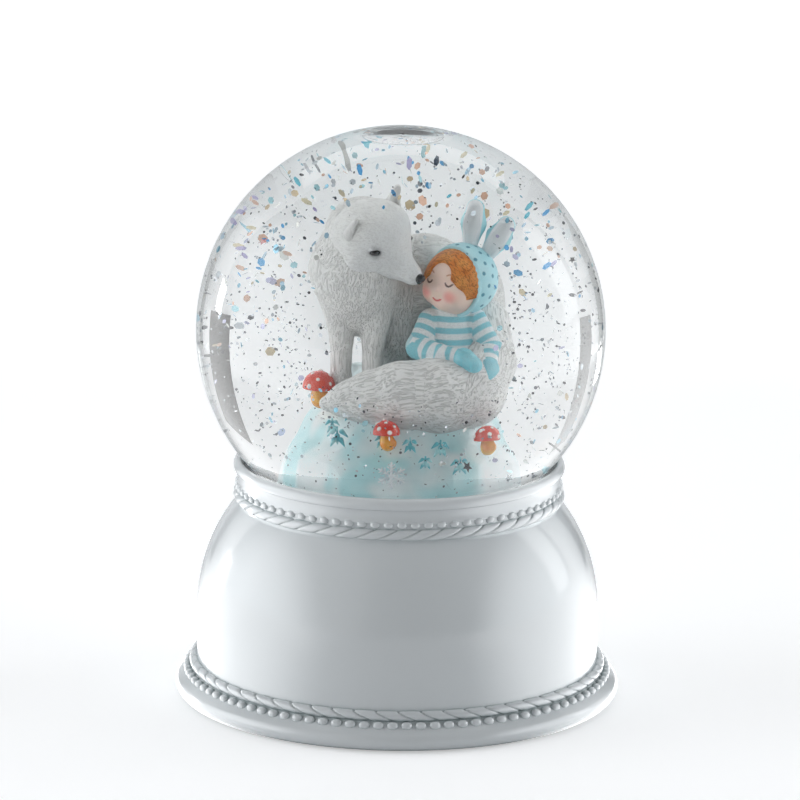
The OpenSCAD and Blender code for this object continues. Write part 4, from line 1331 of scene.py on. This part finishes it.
@dataclass
class Child:
    """The doll in a hooded suit with long ears; its face is a plain doll's face."""

    head: tuple[float, float, float] = (10.9, -3.8, 102.1)
    look: float = -128.0

    def clothes(self) -> None:
        """Models the striped jumper with both arms."""
        left = [((5.6, -4.6, 94.6), 2.4), ((3.4, -7.6, 90.2), 2.3), ((7.6, -10.6, 89.2), 2.1),
                ((12.2, -11.8, 88.9), 1.8)]
        right = [((13.8, -3.6, 94.6), 2.4), ((17.0, -5.6, 89.8), 2.3), ((17.0, -9.6, 87.0), 1.9)]
        clay = Clay((0.2, -14.8, 81), (20.5, 4.5, 100.5), 0.16)
        clay.run([((9.6, -2.8, 95.4), 4.1), ((9.4, -3.4, 88.6), 5.9)], 1.0)
        clay.run(left, 0.7)
        clay.run(right, 0.7)
        piece = clay.mesh("striped_jumper")
        p = MeshMaker.points_of(piece)
        along, _, away = Spine([((9.6, -2.8, 98.0), 4), ((9.4, -3.4, 84.0), 6)]).follow(p)
        score = away - 4.6
        stripe = along.copy()
        for stops in (left, right):
            a, _, w = Spine(stops).follow(p)
            mine = (w - 2.1) < score - 0.3
            stripe[mine] = a[mine] + 0.4
            score = np.where(mine, w - 2.1, score)
        band = np.sin(stripe * 2 * math.pi / 2.15)
        colour = mix((0.87, 0.9, 0.91), (0.28, 0.66, 0.74), ramp(band, -0.25, 0.25))
        MeshMaker.paint(piece, colour)
        MeshMaker.grain(piece, p)
        place(dress(piece, Finish.KNIT), "knit_paint", "child_body")
        mitts = Clay((9.5, -16.2, 81.5), (20.5, -8, 92.5), 0.14)
        for wrist, palm, thumb in ((((12.4, -12.4, 89.0), 2.15), ((14.3, -13.4, 87.8), 1.9), (13.6, -13.2, 89.9)),
                                   (((17.2, -10.8, 86.6), 2.15), ((16.8, -12.8, 84.6), 1.85), (15.4, -12.4, 86.0))):
            mitts.run([wrist, palm], 0.4).add(mitts.ball(thumb, 0.85), 0.5)
        piece = mitts.mesh("mittens_cast")
        p = MeshMaker.points_of(piece)
        MeshMaker.paint(piece, mix((0.2, 0.62, 0.72), (0.34, 0.72, 0.8), 0.5 + 0.5 * rough_field(p, 2, 3)))
        MeshMaker.grain(piece, p)
        place(dress(piece, Finish.KNIT), "knit_paint", "mittens")

    def directions(self) -> tuple[np.ndarray, np.ndarray, np.ndarray]:
        """The ways the face looks, to its own left, and up."""
        a = math.radians(self.look)
        out = np.array((math.cos(a), math.sin(a), 0.12))
        out /= np.linalg.norm(out)
        left = np.cross((0, 0, 1), out)
        left /= np.linalg.norm(left)
        return out, left, np.cross(out, left)

    def face(self) -> None:
        """Models a plain round doll's head with a button nose, painted with simple closed eyes and blush."""
        c = np.array(self.head)
        out, left, up = self.directions()
        clay = Clay(c - 8, c + 8, 0.14)
        clay.add(clay.egg(c, (6.3, 6.15, 6.35)), 0.1)
        for s in (-1, 1):
            clay.add(clay.ball(c + 3.6 * out + s * 2.5 * left - 1.7 * up, 2.6), 1.2)
        clay.add(clay.ball(c + 6.0 * out - 0.7 * up, 0.55), 0.5)
        clay.add(clay.ball(c + 4.2 * out - 3.2 * up, 1.9), 1.2)
        piece = clay.mesh("doll_head")
        p = MeshMaker.points_of(piece)
        q = p - c
        x, z, front = q @ left, q @ up, q @ out
        colour = np.tile((0.90, 0.68, 0.58), (len(p), 1))
        for s in (-1, 1):
            cheek = np.hypot(x - s * 2.9, (z + 1.9) * 1.1)
            colour = mix(colour, (0.86, 0.3, 0.26), 0.75 * (1 - ramp(cheek, 0.3, 2.0)) * (front > 0))
            lid = np.abs(np.hypot(x - s * 2.4, z - 0.9) - 0.75)
            closed = (1 - ramp(lid, 0.1, 0.26)) * (z < 0.75) * (front > 0)
            colour = mix(colour, (0.12, 0.05, 0.04), closed)
            brow = np.abs(np.hypot(x - s * 2.4, z - 1.2) - 1.2)
            colour = mix(colour, (0.5, 0.2, 0.08), (1 - ramp(brow, 0.06, 0.22)) * (z > 2.05) * (front > 0) * 0.8)
        smile = np.abs(np.hypot(x, z + 1.7) - 1.35)
        colour = mix(colour, (0.66, 0.12, 0.1), (1 - ramp(smile, 0.1, 0.28)) * (z < -2.6) * (front > 0))
        MeshMaker.paint(piece, colour)
        place(dress(piece, Finish.SKIN), "skin_paint", "child_head")

    def hood(self) -> None:
        """Models the dotted hood round the face and its two long ears."""
        c = np.array(self.head)
        out, left, up = self.directions()
        middle = c + np.array((0.7, 0.9, 0.5))
        clay = Clay(middle - 9, middle + 9, 0.15)
        clay.add(clay.egg(middle, (6.9, 6.8, 6.9)), 0.1)
        clay.cut(clay.egg(c, (6.15, 6.05, 6.2)), 0.1)
        edge = 1.1
        clay.cut(edge - ((clay.x - c[0]) * out[0] + (clay.y - c[1]) * out[1] + (clay.z - c[2]) * out[2]), 0.3)
        rim = 0.5
        steps = np.linspace(0, 2 * math.pi, 33)
        ring = [c + edge * out - 0.1 * up + 6.15 * (math.cos(t) * left + math.sin(t) * up) for t in steps]
        for a, b in zip(ring[:-1], ring[1:]):
            clay.add(clay.limb(a, rim, b, rim), 0.25)
        piece = clay.mesh("dotted_hood")
        p = MeshMaker.points_of(piece)
        colour = mix((0.45, 0.78, 0.85), (0.56, 0.84, 0.89), 0.5 + 0.5 * rough_field(p, 3, 7))
        for d in spots(110, 2):
            away = np.linalg.norm((p - middle) / 6.85 - d, axis=1)
            colour = mix(colour, (0.1, 0.32, 0.42), 1 - ramp(away, 0.045, 0.075))
        near_rim = np.min([np.linalg.norm(p - r, axis=1) for r in ring], axis=0)
        colour = mix(colour, (0.5, 0.8, 0.86), 1 - ramp(near_rim, 0.6, 0.8))
        MeshMaker.paint(piece, colour)
        place(dress(piece, Finish.HOOD), "knit_paint", "child_hood")
        ears = Clay((10, -4, 105), (23, 4, 119.5), 0.15)
        plan = (((12.9, -0.6, 108.4), (13.7, 0.3, 112.8), (14.2, 1.0, 115.9)),
                ((16.0, -0.8, 106.4), (18.6, 0.0, 110.2), (20.2, 0.8, 112.6)))
        for a, b, d in plan:
            ears.run([(a, 1.35), (b, 2.35), (d, 1.75)], 0.8)
        inner = []
        for a, b, d in plan:
            a, b, d = np.array(a), np.array(b), np.array(d)
            shift = np.array((-0.1, -1.15, 0.1))
            ears.cut(ears.limb(a + 1.6 * shift + 0.2 * (b - a), 0.7, b + 2.3 * shift, 1.6), 0.4)
            ears.cut(ears.limb(b + 2.3 * shift, 1.6, d + 1.9 * shift, 1.1), 0.4)
            inner.append((a + shift, b + 1.7 * shift, d + 1.4 * shift))
        piece = ears.mesh("hood_ears_cast")
        p = MeshMaker.points_of(piece)
        colour = mix((0.36, 0.74, 0.82), (0.5, 0.82, 0.87), 0.5 + 0.5 * rough_field(p, 2, 4))
        for a, b, d in inner:
            w = Spine([(a, 1), (b, 1), (d, 1)]).follow(p)[2]
            colour = mix(colour, (0.88, 0.91, 0.92), 1 - ramp(w, 1.75, 2.0))
        MeshMaker.paint(piece, colour)
        place(dress(piece, Finish.HOOD), "knit_paint", "hood_ears")

    def hair(self) -> None:
        """Models parted hair that shows under the hood's edge."""
        c = np.array(self.head)
        out, left, up = self.directions()
        clay = Clay(c - 8, c + 8, 0.13)
        crown = c + 4.2 * out + 4.6 * up
        ahead = (clay.x - c[0]) * out[0] + (clay.y - c[1]) * out[1] + (clay.z - c[2]) * out[2]
        above = (clay.x - c[0]) * up[0] + (clay.y - c[1]) * up[1] + (clay.z - c[2]) * up[2]
        clay.add(clay.egg(c, (6.75, 6.6, 6.75)), 0.1)
        clay.cut(clay.egg(c, (5.9, 5.8, 5.9)), 0.1)
        clay.cut(ahead - 0.8, 0.2)
        clay.cut(above + 2.6 - 0.25 * (4.0 - ahead), 0.3)
        clay.cut(clay.limb(c + 4.6 * out - 3.2 * up, 5.0, c + 9 * out - 3.2 * up, 6.5), 0.3)
        clay.cut(clay.limb(c + 5.2 * out + 1.6 * up, 2.4, c + 9 * out + 3.6 * up, 3.6), 0.5)
        clay.cut(clay.limb(crown - 2 * out + 2.6 * up, 0.16, c + 7.2 * out + 3.0 * up, 0.2), 0.25)
        piece = clay.mesh("parted_hair")
        p = MeshMaker.points_of(piece)
        MeshMaker.paint(piece, mix((0.74, 0.22, 0.04), (0.86, 0.36, 0.09), 0.5 + 0.5 * rough_field(p, 1.5, 5)))
        q = p - crown
        MeshMaker.grain(piece, np.column_stack([q @ out, 0.4 * np.abs(q @ left), q @ up + 0.5 * np.abs(q @ left)]))
        place(dress(piece, Finish.HAIR), "hair_paint", "child_hair")

    def build(self) -> None:
        """Makes the whole child."""
        self.clothes()
        self.face()
        self.hood()
        self.hair()


@dataclass
class Flurry:
    """Loose glitter: many small silver flakes, some painted near black or grey as a painted reflection of dark
    surroundings, fewer large coloured ones, and a few stars.
    """

    centre_z: float
    reach: float = 46.2
    small: int = 2300
    large: int = 560
    streaks: int = 46
    seed: int = 11

    def _solids(self) -> list[tuple[np.ndarray, float]]:
        """Balls that keep the flakes out of the figures."""
        return [(np.array(c), r) for c, r in (
            ((-7.5, 0.5, 101), 11.5), ((-5, -3, 109), 9.5), ((4, 7, 98), 11), ((11, 6, 90), 11), ((-9, -4, 86), 6),
            ((8, -12, 82.5), 8), ((0, -13, 82.5), 7), ((-8, -13, 81.5), 5), ((15, -8, 84), 8), ((10.5, -3.5, 101), 8.5),
            ((9.5, -3.5, 90), 9), ((14.5, 0.5, 113), 4), ((19, 0, 110), 4), ((-15.4, -7, 81), 4),
            ((-3.3, -21.3, 74), 4), ((17.2, -17.4, 73), 4))]

    def _clear(self, p: np.ndarray) -> bool:
        """Tells whether a flake would hang free in the liquid and clear of the view of the figures.

        Args:
            p: the flake's place.

        Returns:
            True where it is free.
        """
        if np.linalg.norm(p - (0, 0, self.centre_z)) > self.reach or p[2] < 59.6:
            return False
        if math.hypot(p[0], p[1]) < 23.9 and p[2] < 74 or math.hypot(p[0], p[1]) < 20.5 and p[2] < 81:
            return False
        if p[1] < 0:
            seen = p[2] + 0.253 * p[1]
            for x, z, wide, tall in ((-6.5, 101, 12.5, 19), (11.5, 101, 10, 15), (3, 82, 21, 8.5)):
                if ((p[0] - x) / wide) ** 2 + ((seen - z) / tall) ** 2 < 1:
                    return False
        return all(np.linalg.norm(p - c) > r for c, r in self._solids())

    def _plate(self, centre: np.ndarray, size: float, rng: np.random.Generator, corners: int, star: bool,
               slim: float) -> tuple[np.ndarray, list]:
        """One thin flake.

        Args:
            centre: its place.
            size: its radius.
            rng: source of its tilt.
            corners: number of corners.
            star: whether it is a five-pointed star.
            slim: its width against its length.

        Returns:
            Its vertices and faces.
        """
        normal = rng.normal(size=3) + (0, -0.5, 0.0)
        normal /= np.linalg.norm(normal)
        a = np.cross(normal, (0.3, 0.5, 0.8))
        a /= np.linalg.norm(a)
        b = np.cross(normal, a)
        if slim < 1:
            a = centre - np.array((0, 0, self.centre_z)) + rng.normal(size=3) * 6
            a /= np.linalg.norm(a)
            b = np.cross(a, (0.1, 1.0, 0.1)) * slim
        turn = np.linspace(0, 2 * math.pi, corners, endpoint=False) + rng.uniform(0, 6)
        reach = size * (np.where(np.arange(corners) % 2 == 0, 1.0, 0.45) if star else 1.0) * np.ones(corners)
        rim = centre + (reach * np.cos(turn))[:, None] * a + (reach * np.sin(turn))[:, None] * b
        thick = 0.012 * normal
        points = np.concatenate([rim + thick, rim - thick])
        n = corners
        faces = [list(range(n)), list(range(2 * n - 1, n - 1, -1))]
        faces += [[i, n + i, n + (i + 1) % n, (i + 1) % n] for i in range(n)]
        return points, faces

    def _scatter(self, name: str, plan: list[tuple[np.ndarray, float, Colour]], rng: np.random.Generator, star: bool,
                 slim: float = 1.0) -> bpy.types.Object:
        """Builds one piece from many flakes.

        Args:
            name: the piece's name.
            plan: place, radius and colour of each flake.
            rng: source of their tilts.
            star: whether they are five-pointed stars.
            slim: their width against their length.

        Returns:
            The piece.
        """
        points, faces, colours, start = [], [], [], 0
        for centre, size, colour in plan:
            p, f = self._plate(centre, size, rng, 10 if star else 6, star, slim)
            points.append(p)
            faces += [[start + v for v in face] for face in f]
            colours.append(np.tile(colour, (len(p), 1)))
            start += len(p)
        piece = MeshMaker.solid(name, np.concatenate(points), faces, smooth=False)
        MeshMaker.paint(piece, np.concatenate(colours))
        return piece

    def build(self) -> None:
        """Scatters the flakes and the stars."""
        rng = np.random.default_rng(self.seed)
        # silver tones for the small flakes and the stars; the near-black and grey ones are painted reflection, silver
        # painted in the dark it mirrors
        dark: list[Colour] = [(0.03, 0.035, 0.045), (0.12, 0.13, 0.15), (0.4, 0.42, 0.45), (0.8, 0.82, 0.85),
                              (0.9, 0.92, 0.95)]
        bright: list[Colour] = [
            (0.3, 0.62, 0.78), (0.5, 0.74, 0.9), (0.85, 0.68, 0.45), (0.88, 0.55, 0.4), (0.68, 0.66, 0.88),
            (0.5, 0.82, 0.88), (0.8, 0.86, 0.9), (0.95, 0.95, 0.9), (0.1, 0.42, 0.75), (0.4, 0.5, 0.56),
        ]
        plan: list[tuple[np.ndarray, float, Colour]] = []
        while len(plan) < self.small:
            p = rng.normal(size=3)
            p = p / np.linalg.norm(p) * self.reach * rng.uniform(0, 1) ** (1 / 3) + (0, 0, self.centre_z)
            heavy = 0.35 + 0.65 * (1 - ramp(np.array([p[2]]), 72, 118)[0]) + 0.12 * (p[0] > 0)
            if rng.uniform() < heavy and self._clear(p):
                size = rng.choice((0.2, 0.26, 0.36), p=(0.45, 0.35, 0.2))
                plan.append((p, size, dark[rng.choice(5, p=(0.26, 0.2, 0.2, 0.18, 0.16))]))
        coloured: list[tuple[np.ndarray, float, Colour]] = []
        while len(coloured) < self.large:
            p = rng.normal(size=3)
            p = p / np.linalg.norm(p) * self.reach * rng.uniform(0.2, 1) ** (1 / 3) + (0, 0, self.centre_z)
            light = 0.3 + 0.7 * ramp(np.array([p[2] - 0.35 * p[0]]), 86, 116)[0]
            if rng.uniform() < light and self._clear(p):
                coloured.append((p, rng.uniform(0.36, 0.85), bright[rng.integers(len(bright))]))
        piece = self._scatter("glitter", plan + coloured, rng, False)
        place(dress(piece, Finish.GLITTER), "glitter", "glitter_flakes")
        strips: list[tuple[np.ndarray, float, Colour]] = []
        vivid: list[Colour] = [(0.1, 0.5, 0.95), (0.2, 0.7, 0.85), (0.65, 0.6, 0.9), (0.95, 0.65, 0.5),
                               (0.95, 0.85, 0.6), (0.7, 0.85, 0.95)]
        while len(strips) < self.streaks:
            a, b = rng.uniform(20, 160), rng.uniform(-0.35, 0.75)
            out = np.array((math.cos(math.radians(a)), -b, math.sin(math.radians(a)))) * (0.78 * self.reach)
            p = out * min(1.0, 0.95 * self.reach / np.linalg.norm(out)) + (0, 0, self.centre_z)
            if self._clear(p):
                strips.append((p, rng.uniform(1.0, 2.1), vivid[rng.integers(len(vivid))]))
        piece = self._scatter("glitter_curls", strips, rng, False, 0.32)
        place(dress(piece, Finish.GLITTER), "glitter")
        stars = [((14.6, -24.5, 67.6), 1.6, dark[0]), ((10.8, -26.6, 63.0), 1.6, dark[4]),
                 ((36.5, -6, 109), 1.35, dark[0]),
                 ((-29.5, -10, 113), 1.5, dark[4]), ((29, -18, 70), 1.4, dark[3]), ((24, -20, 63.5), 1.4, dark[4])]
        piece = self._scatter("stars", [(np.array(p), s, c) for p, s, c in stars], rng, True)
        place(dress(piece, Finish.SILVER), "silver_foil", "glitter_stars")


# ---------------------------------------------------------------------------------------------------------------
# Works inside the base
# ---------------------------------------------------------------------------------------------------------------


@dataclass
class Works:
    """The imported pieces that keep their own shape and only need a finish."""

    finishes: dict[str, Finish] = field(default_factory=lambda: {
        "bottom_cover": Finish.PLATE, "battery_door": Finish.PLATE, "cover_screws": Finish.STEEL,
        "foot_pads": Finish.GREY_RUBBER,
        "door_screw_left": Finish.STEEL, "door_screw_right": Finish.STEEL, "battery_cells": Finish.SLEEVE,
        "contact_plates": Finish.STEEL, "contact_springs": Finish.STEEL, "power_button": Finish.BUTTON,
        "switch_plunger": Finish.BLACK, "switch_body": Finish.NAVY, "switch_board": Finish.GREEN_BOARD,
        "switch_screws": Finish.STEEL, "diffuser": Finish.OPAL, "led_board": Finish.WHITE_BOARD, "leds": Finish.LENS,
        "driver_chip": Finish.BLACK, "resistors": Finish.BLACK, "board_screws": Finish.STEEL,
        "wire_red": Finish.RED_LEAD,
        "wire_black": Finish.BLACK_LEAD, "wire_white": Finish.WHITE_LEAD, "stopper": Finish.CLEAR_RUBBER,
        "seat_ring": Finish.GREY_RUBBER, "lip_seal": Finish.SILICONE,
    })

    def build(self) -> None:
        """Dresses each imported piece."""
        for node, kind in self.finishes.items():
            dress(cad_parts[node], kind)
            LOG.info("%s: %s", node, kind.value.name)


# ---------------------------------------------------------------------------------------------------------------
# Studio
# ---------------------------------------------------------------------------------------------------------------


@dataclass
class Studio:
    """A pale floor, soft lights and a long-lens camera a little above the globe."""

    distance: float = 1.7
    elevation: float = 14.2
    aim: float = 0.074
    lens: float = 312.67
    roll: float = 0.7
    lift: float = 0.44
    wall_light: float = 3.4
    through: float = 0.35
    side_reflection_glow: float = 2.2
    backdrop: float = 1.05
    hidden_patch: float = 0.049

    def camera(self) -> None:
        """Sets the camera."""
        e = math.radians(self.elevation)
        back = Vector((0, -math.cos(e), math.sin(e)))
        data = bpy.data.cameras.new("camera")
        data.lens, data.sensor_width = self.lens, 36.0
        data.clip_start, data.clip_end = 0.05, 20
        eye = bpy.data.objects.new("camera", data)
        bpy.context.scene.collection.objects.link(eye)
        eye.location = Vector((0, 0, self.aim)) + back * self.distance
        eye.rotation_mode = "QUATERNION"
        aim = (-back).to_track_quat("-Z", "Y").to_matrix()
        eye.rotation_quaternion = (aim @ Matrix.Rotation(math.radians(self.roll), 3, "Z")).to_quaternion()
        bpy.context.scene.camera = eye

    def panel(self, name: str, place_at: Point, aim: Point, size: tuple[float, float], power: float) -> None:
        """Hangs a white soft box.

        Args:
            name: the lamp's name.
            place_at: where it stands, in metres.
            aim: what it points at, in metres.
            size: its width and height.
            power: its power in watts.
        """
        data = bpy.data.lights.new(name, "AREA")
        data.shape, data.size, data.size_y = "RECTANGLE", size[0], size[1]
        data.energy = power
        lamp = bpy.data.objects.new(name, data)
        bpy.context.scene.collection.objects.link(lamp)
        lamp.location = place_at
        lamp.rotation_mode = "QUATERNION"
        lamp.rotation_quaternion = (Vector(aim) - Vector(place_at)).to_track_quat("-Z", "Y")

    def card(self, name: str, centre: Point, size: tuple[float, float], face: Point, tone: float) -> None:
        """A plain standing card that shapes the reflections; the camera doesn't see it directly.

        Args:
            name: the card's name.
            centre: where it stands, in metres.
            size: its width and height.
            face: the way it faces.
            tone: how light it is, from 0 to 1.
        """
        right, up = size[0] / 2, size[1] / 2
        points = np.array([(-right, -up, 0), (right, -up, 0), (right, up, 0), (-right, up, 0)]) / MM
        piece = MeshMaker.solid(name, points, [[0, 1, 2, 3]], smooth=False)
        piece.location = centre
        piece.rotation_mode = "QUATERNION"
        piece.rotation_quaternion = Vector(face).to_track_quat("Z", "Y")
        bench = Bench(name)
        bench.set(Base_Color=(tone, tone, tone), Roughness=1.0, Specular_IOR_Level=0.0)
        piece.data.materials.append(bench.material)
        piece.visible_camera = False
        piece.visible_shadow = False

    def floor(self) -> None:
        """A pale floor that sweeps up into a backdrop; eyes see it a little brighter than it lights things, and in
        glossy surfaces it glows at both sides as a painted reflection.
        """
        line = [(-3.0, 0.0), (1.6, 0.0)]
        line += [(1.6 + 0.5 * math.sin(a), 0.5 - 0.5 * math.cos(a)) for a in np.linspace(0.1, math.pi / 2, 12)]
        line += [(2.1, 3.2)]
        points = np.array([(x, y, z) for y, z in line for x in (-3.0, 3.0)]) / MM
        faces = [[2 * i, 2 * i + 1, 2 * i + 3, 2 * i + 2] for i in range(len(line) - 1)]
        piece = MeshMaker.solid("floor", points, faces)
        bench = Bench("Floor")
        pale = bench.group(Effects.mottle(), Light=(0.86, 0.865, 0.875), Dark=(0.855, 0.86, 0.875), Scale=3.0,
                           Amount=0.5)
        look = {"Base Color": pale.outputs["Colour"], "Roughness": 0.7, "Specular IOR Level": 0.1}
        for label, value in look.items():
            bench.feed(bench.shader.inputs[label], value)
        path = bench.node("LightPath").outputs
        where = bench.node("TexCoord").outputs["Object"]
        away = bench.node("VectorMath", {0: where}, operation="LENGTH").outputs["Value"]
        across = bench.node("SeparateXYZ", {0: where}).outputs["X"]
        aside = bench.maths("ABSOLUTE", bench.maths("DIVIDE", across, away))
        # painted reflection: seen in glossy surfaces the floor glows strongly towards both sides and not in front, so
        # the glossy base shows light flanks and a darker middle
        flank = bench.spread(aside, 0.5, 0.95, -self.lift, self.side_reflection_glow, smooth=True)
        # light bent through glass counts as glossy too, so what is left of it is a true reflection
        mirrored = bench.maths("SUBTRACT", path["Is Glossy Ray"], path["Is Transmission Ray"], clamp=True)
        strength = bench.maths("MULTIPLY_ADD", mirrored, flank, self.lift)
        glow = bench.node("BsdfPrincipled", look | {"Emission Color": (1.0, 1.0, 1.0), "Emission Strength": strength})
        lit = bench.maths("ADD", path["Is Camera Ray"], mirrored)
        through = bench.maths("MULTIPLY_ADD", path["Is Transmission Ray"], self.through, lit)
        seen = bench.maths("MULTIPLY", through, bench.maths("LESS_THAN", path["Diffuse Depth"], 0.5))
        # the patch hidden under the foot glows, and the floor is clear from beneath, so the underside can be seen
        hidden = bench.maths("LESS_THAN", away, self.hidden_patch)
        both = bench.over(bench.maths("MAXIMUM", seen, hidden), bench.shader.outputs[0], glow.outputs[0])
        back = bench.node("NewGeometry").outputs["Backfacing"]
        bench.show(bench.over(back, both, bench.node("BsdfTransparent").outputs[0]))
        piece.data.materials.append(bench.material)

    def room(self, scene: bpy.types.Scene) -> None:
        """Sets the room round the set: dim in front and behind, with soft light that grows towards both sides.

        Args:
            scene: the scene that gets it.
        """
        scene.world = bpy.data.worlds.new("room")
        scene.world.use_nodes = True
        room = Wiring(scene.world.node_tree)
        where = room.node("TexCoord").outputs["Generated"]
        aside = room.maths("ABSOLUTE", room.node("SeparateXYZ", {0: where}).outputs["X"])
        light = room.spread(aside, 0.66, 1.0, 0.08, self.wall_light, smooth=True)
        path = room.node("LightPath").outputs
        eye = room.maths("ADD", path["Is Camera Ray"], path["Is Transmission Ray"], clamp=True)
        seen = room.maths("MULTIPLY", eye, room.maths("LESS_THAN", path["Diffuse Depth"], 0.5))
        calm = room.maths("MINIMUM", light, self.backdrop)
        sky = room.tree.nodes["Background"].inputs
        room.feed(sky["Strength"], room.node("Mix", {"Factor": seen, "A": light, "B": calm}).outputs["Result"])
        room.feed(sky["Color"], (0.95, 0.98, 1.0))

    def build(self) -> None:
        """Sets up the whole studio."""
        scene = bpy.context.scene
        self.camera()
        self.floor()
        self.card("dark_card", (0.206, 0.306, 0.07), (0.08, 0.17), (-0.6, -1, 0), 0.08)
        self.card("grey_card", (-0.215, 0.3, 0.08), (0.05, 0.2), (0.7, -1, 0), 0.3)
        self.room(scene)
        self.panel("key_left", (-1.06, -0.56, 0.95), (0, 0, 0.95), (2.2, 1.9), 5)
        self.panel("strip_left", (-0.97, 0.655, 0.1), (0, 0, 0.09), (0.15, 0.17), 0.9)
        self.panel("strip_right", (1.2, 0.49, 0.5), (0, 0, 0.09), (0.36, 0.9), 1.5)
        self.panel("overhead", (0.0, 0.4, 1.5), (0, 0.2, 0), (1.4, 0.9), 2)
        self.panel("backdrop_wash", (0.0, 1.5, 1.4), (0, 1.4, 0), (2.2, 0.9), 6)
        scene.view_settings.view_transform = "Standard"
        scene.view_settings.look = "None"
        scene.cycles.max_bounces = 24
        scene.cycles.transmission_bounces = 20
        scene.cycles.transparent_max_bounces = 24
        scene.cycles.glossy_bounces = 6
        scene.cycles.caustics_reflective = False
        scene.cycles.caustics_refractive = True
        scene.cycles.blur_glossy = 0.8
        scene.cycles.sample_clamp_indirect = 4.0


def main() -> None:
    """Builds the globe piece by piece and reports each one."""
    logging.basicConfig(level=logging.INFO, format="%(name)s %(message)s")
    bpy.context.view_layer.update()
    Studio().build()
    housing = Housing()
    housing.build()
    Ball(housing.ball_z).build()
    Mound().build()
    Toadstools().build()
    Fox().build()
    Child().build()
    Flurry(housing.ball_z).build()
    Works().build()


if __name__ == "__main__":
    main()
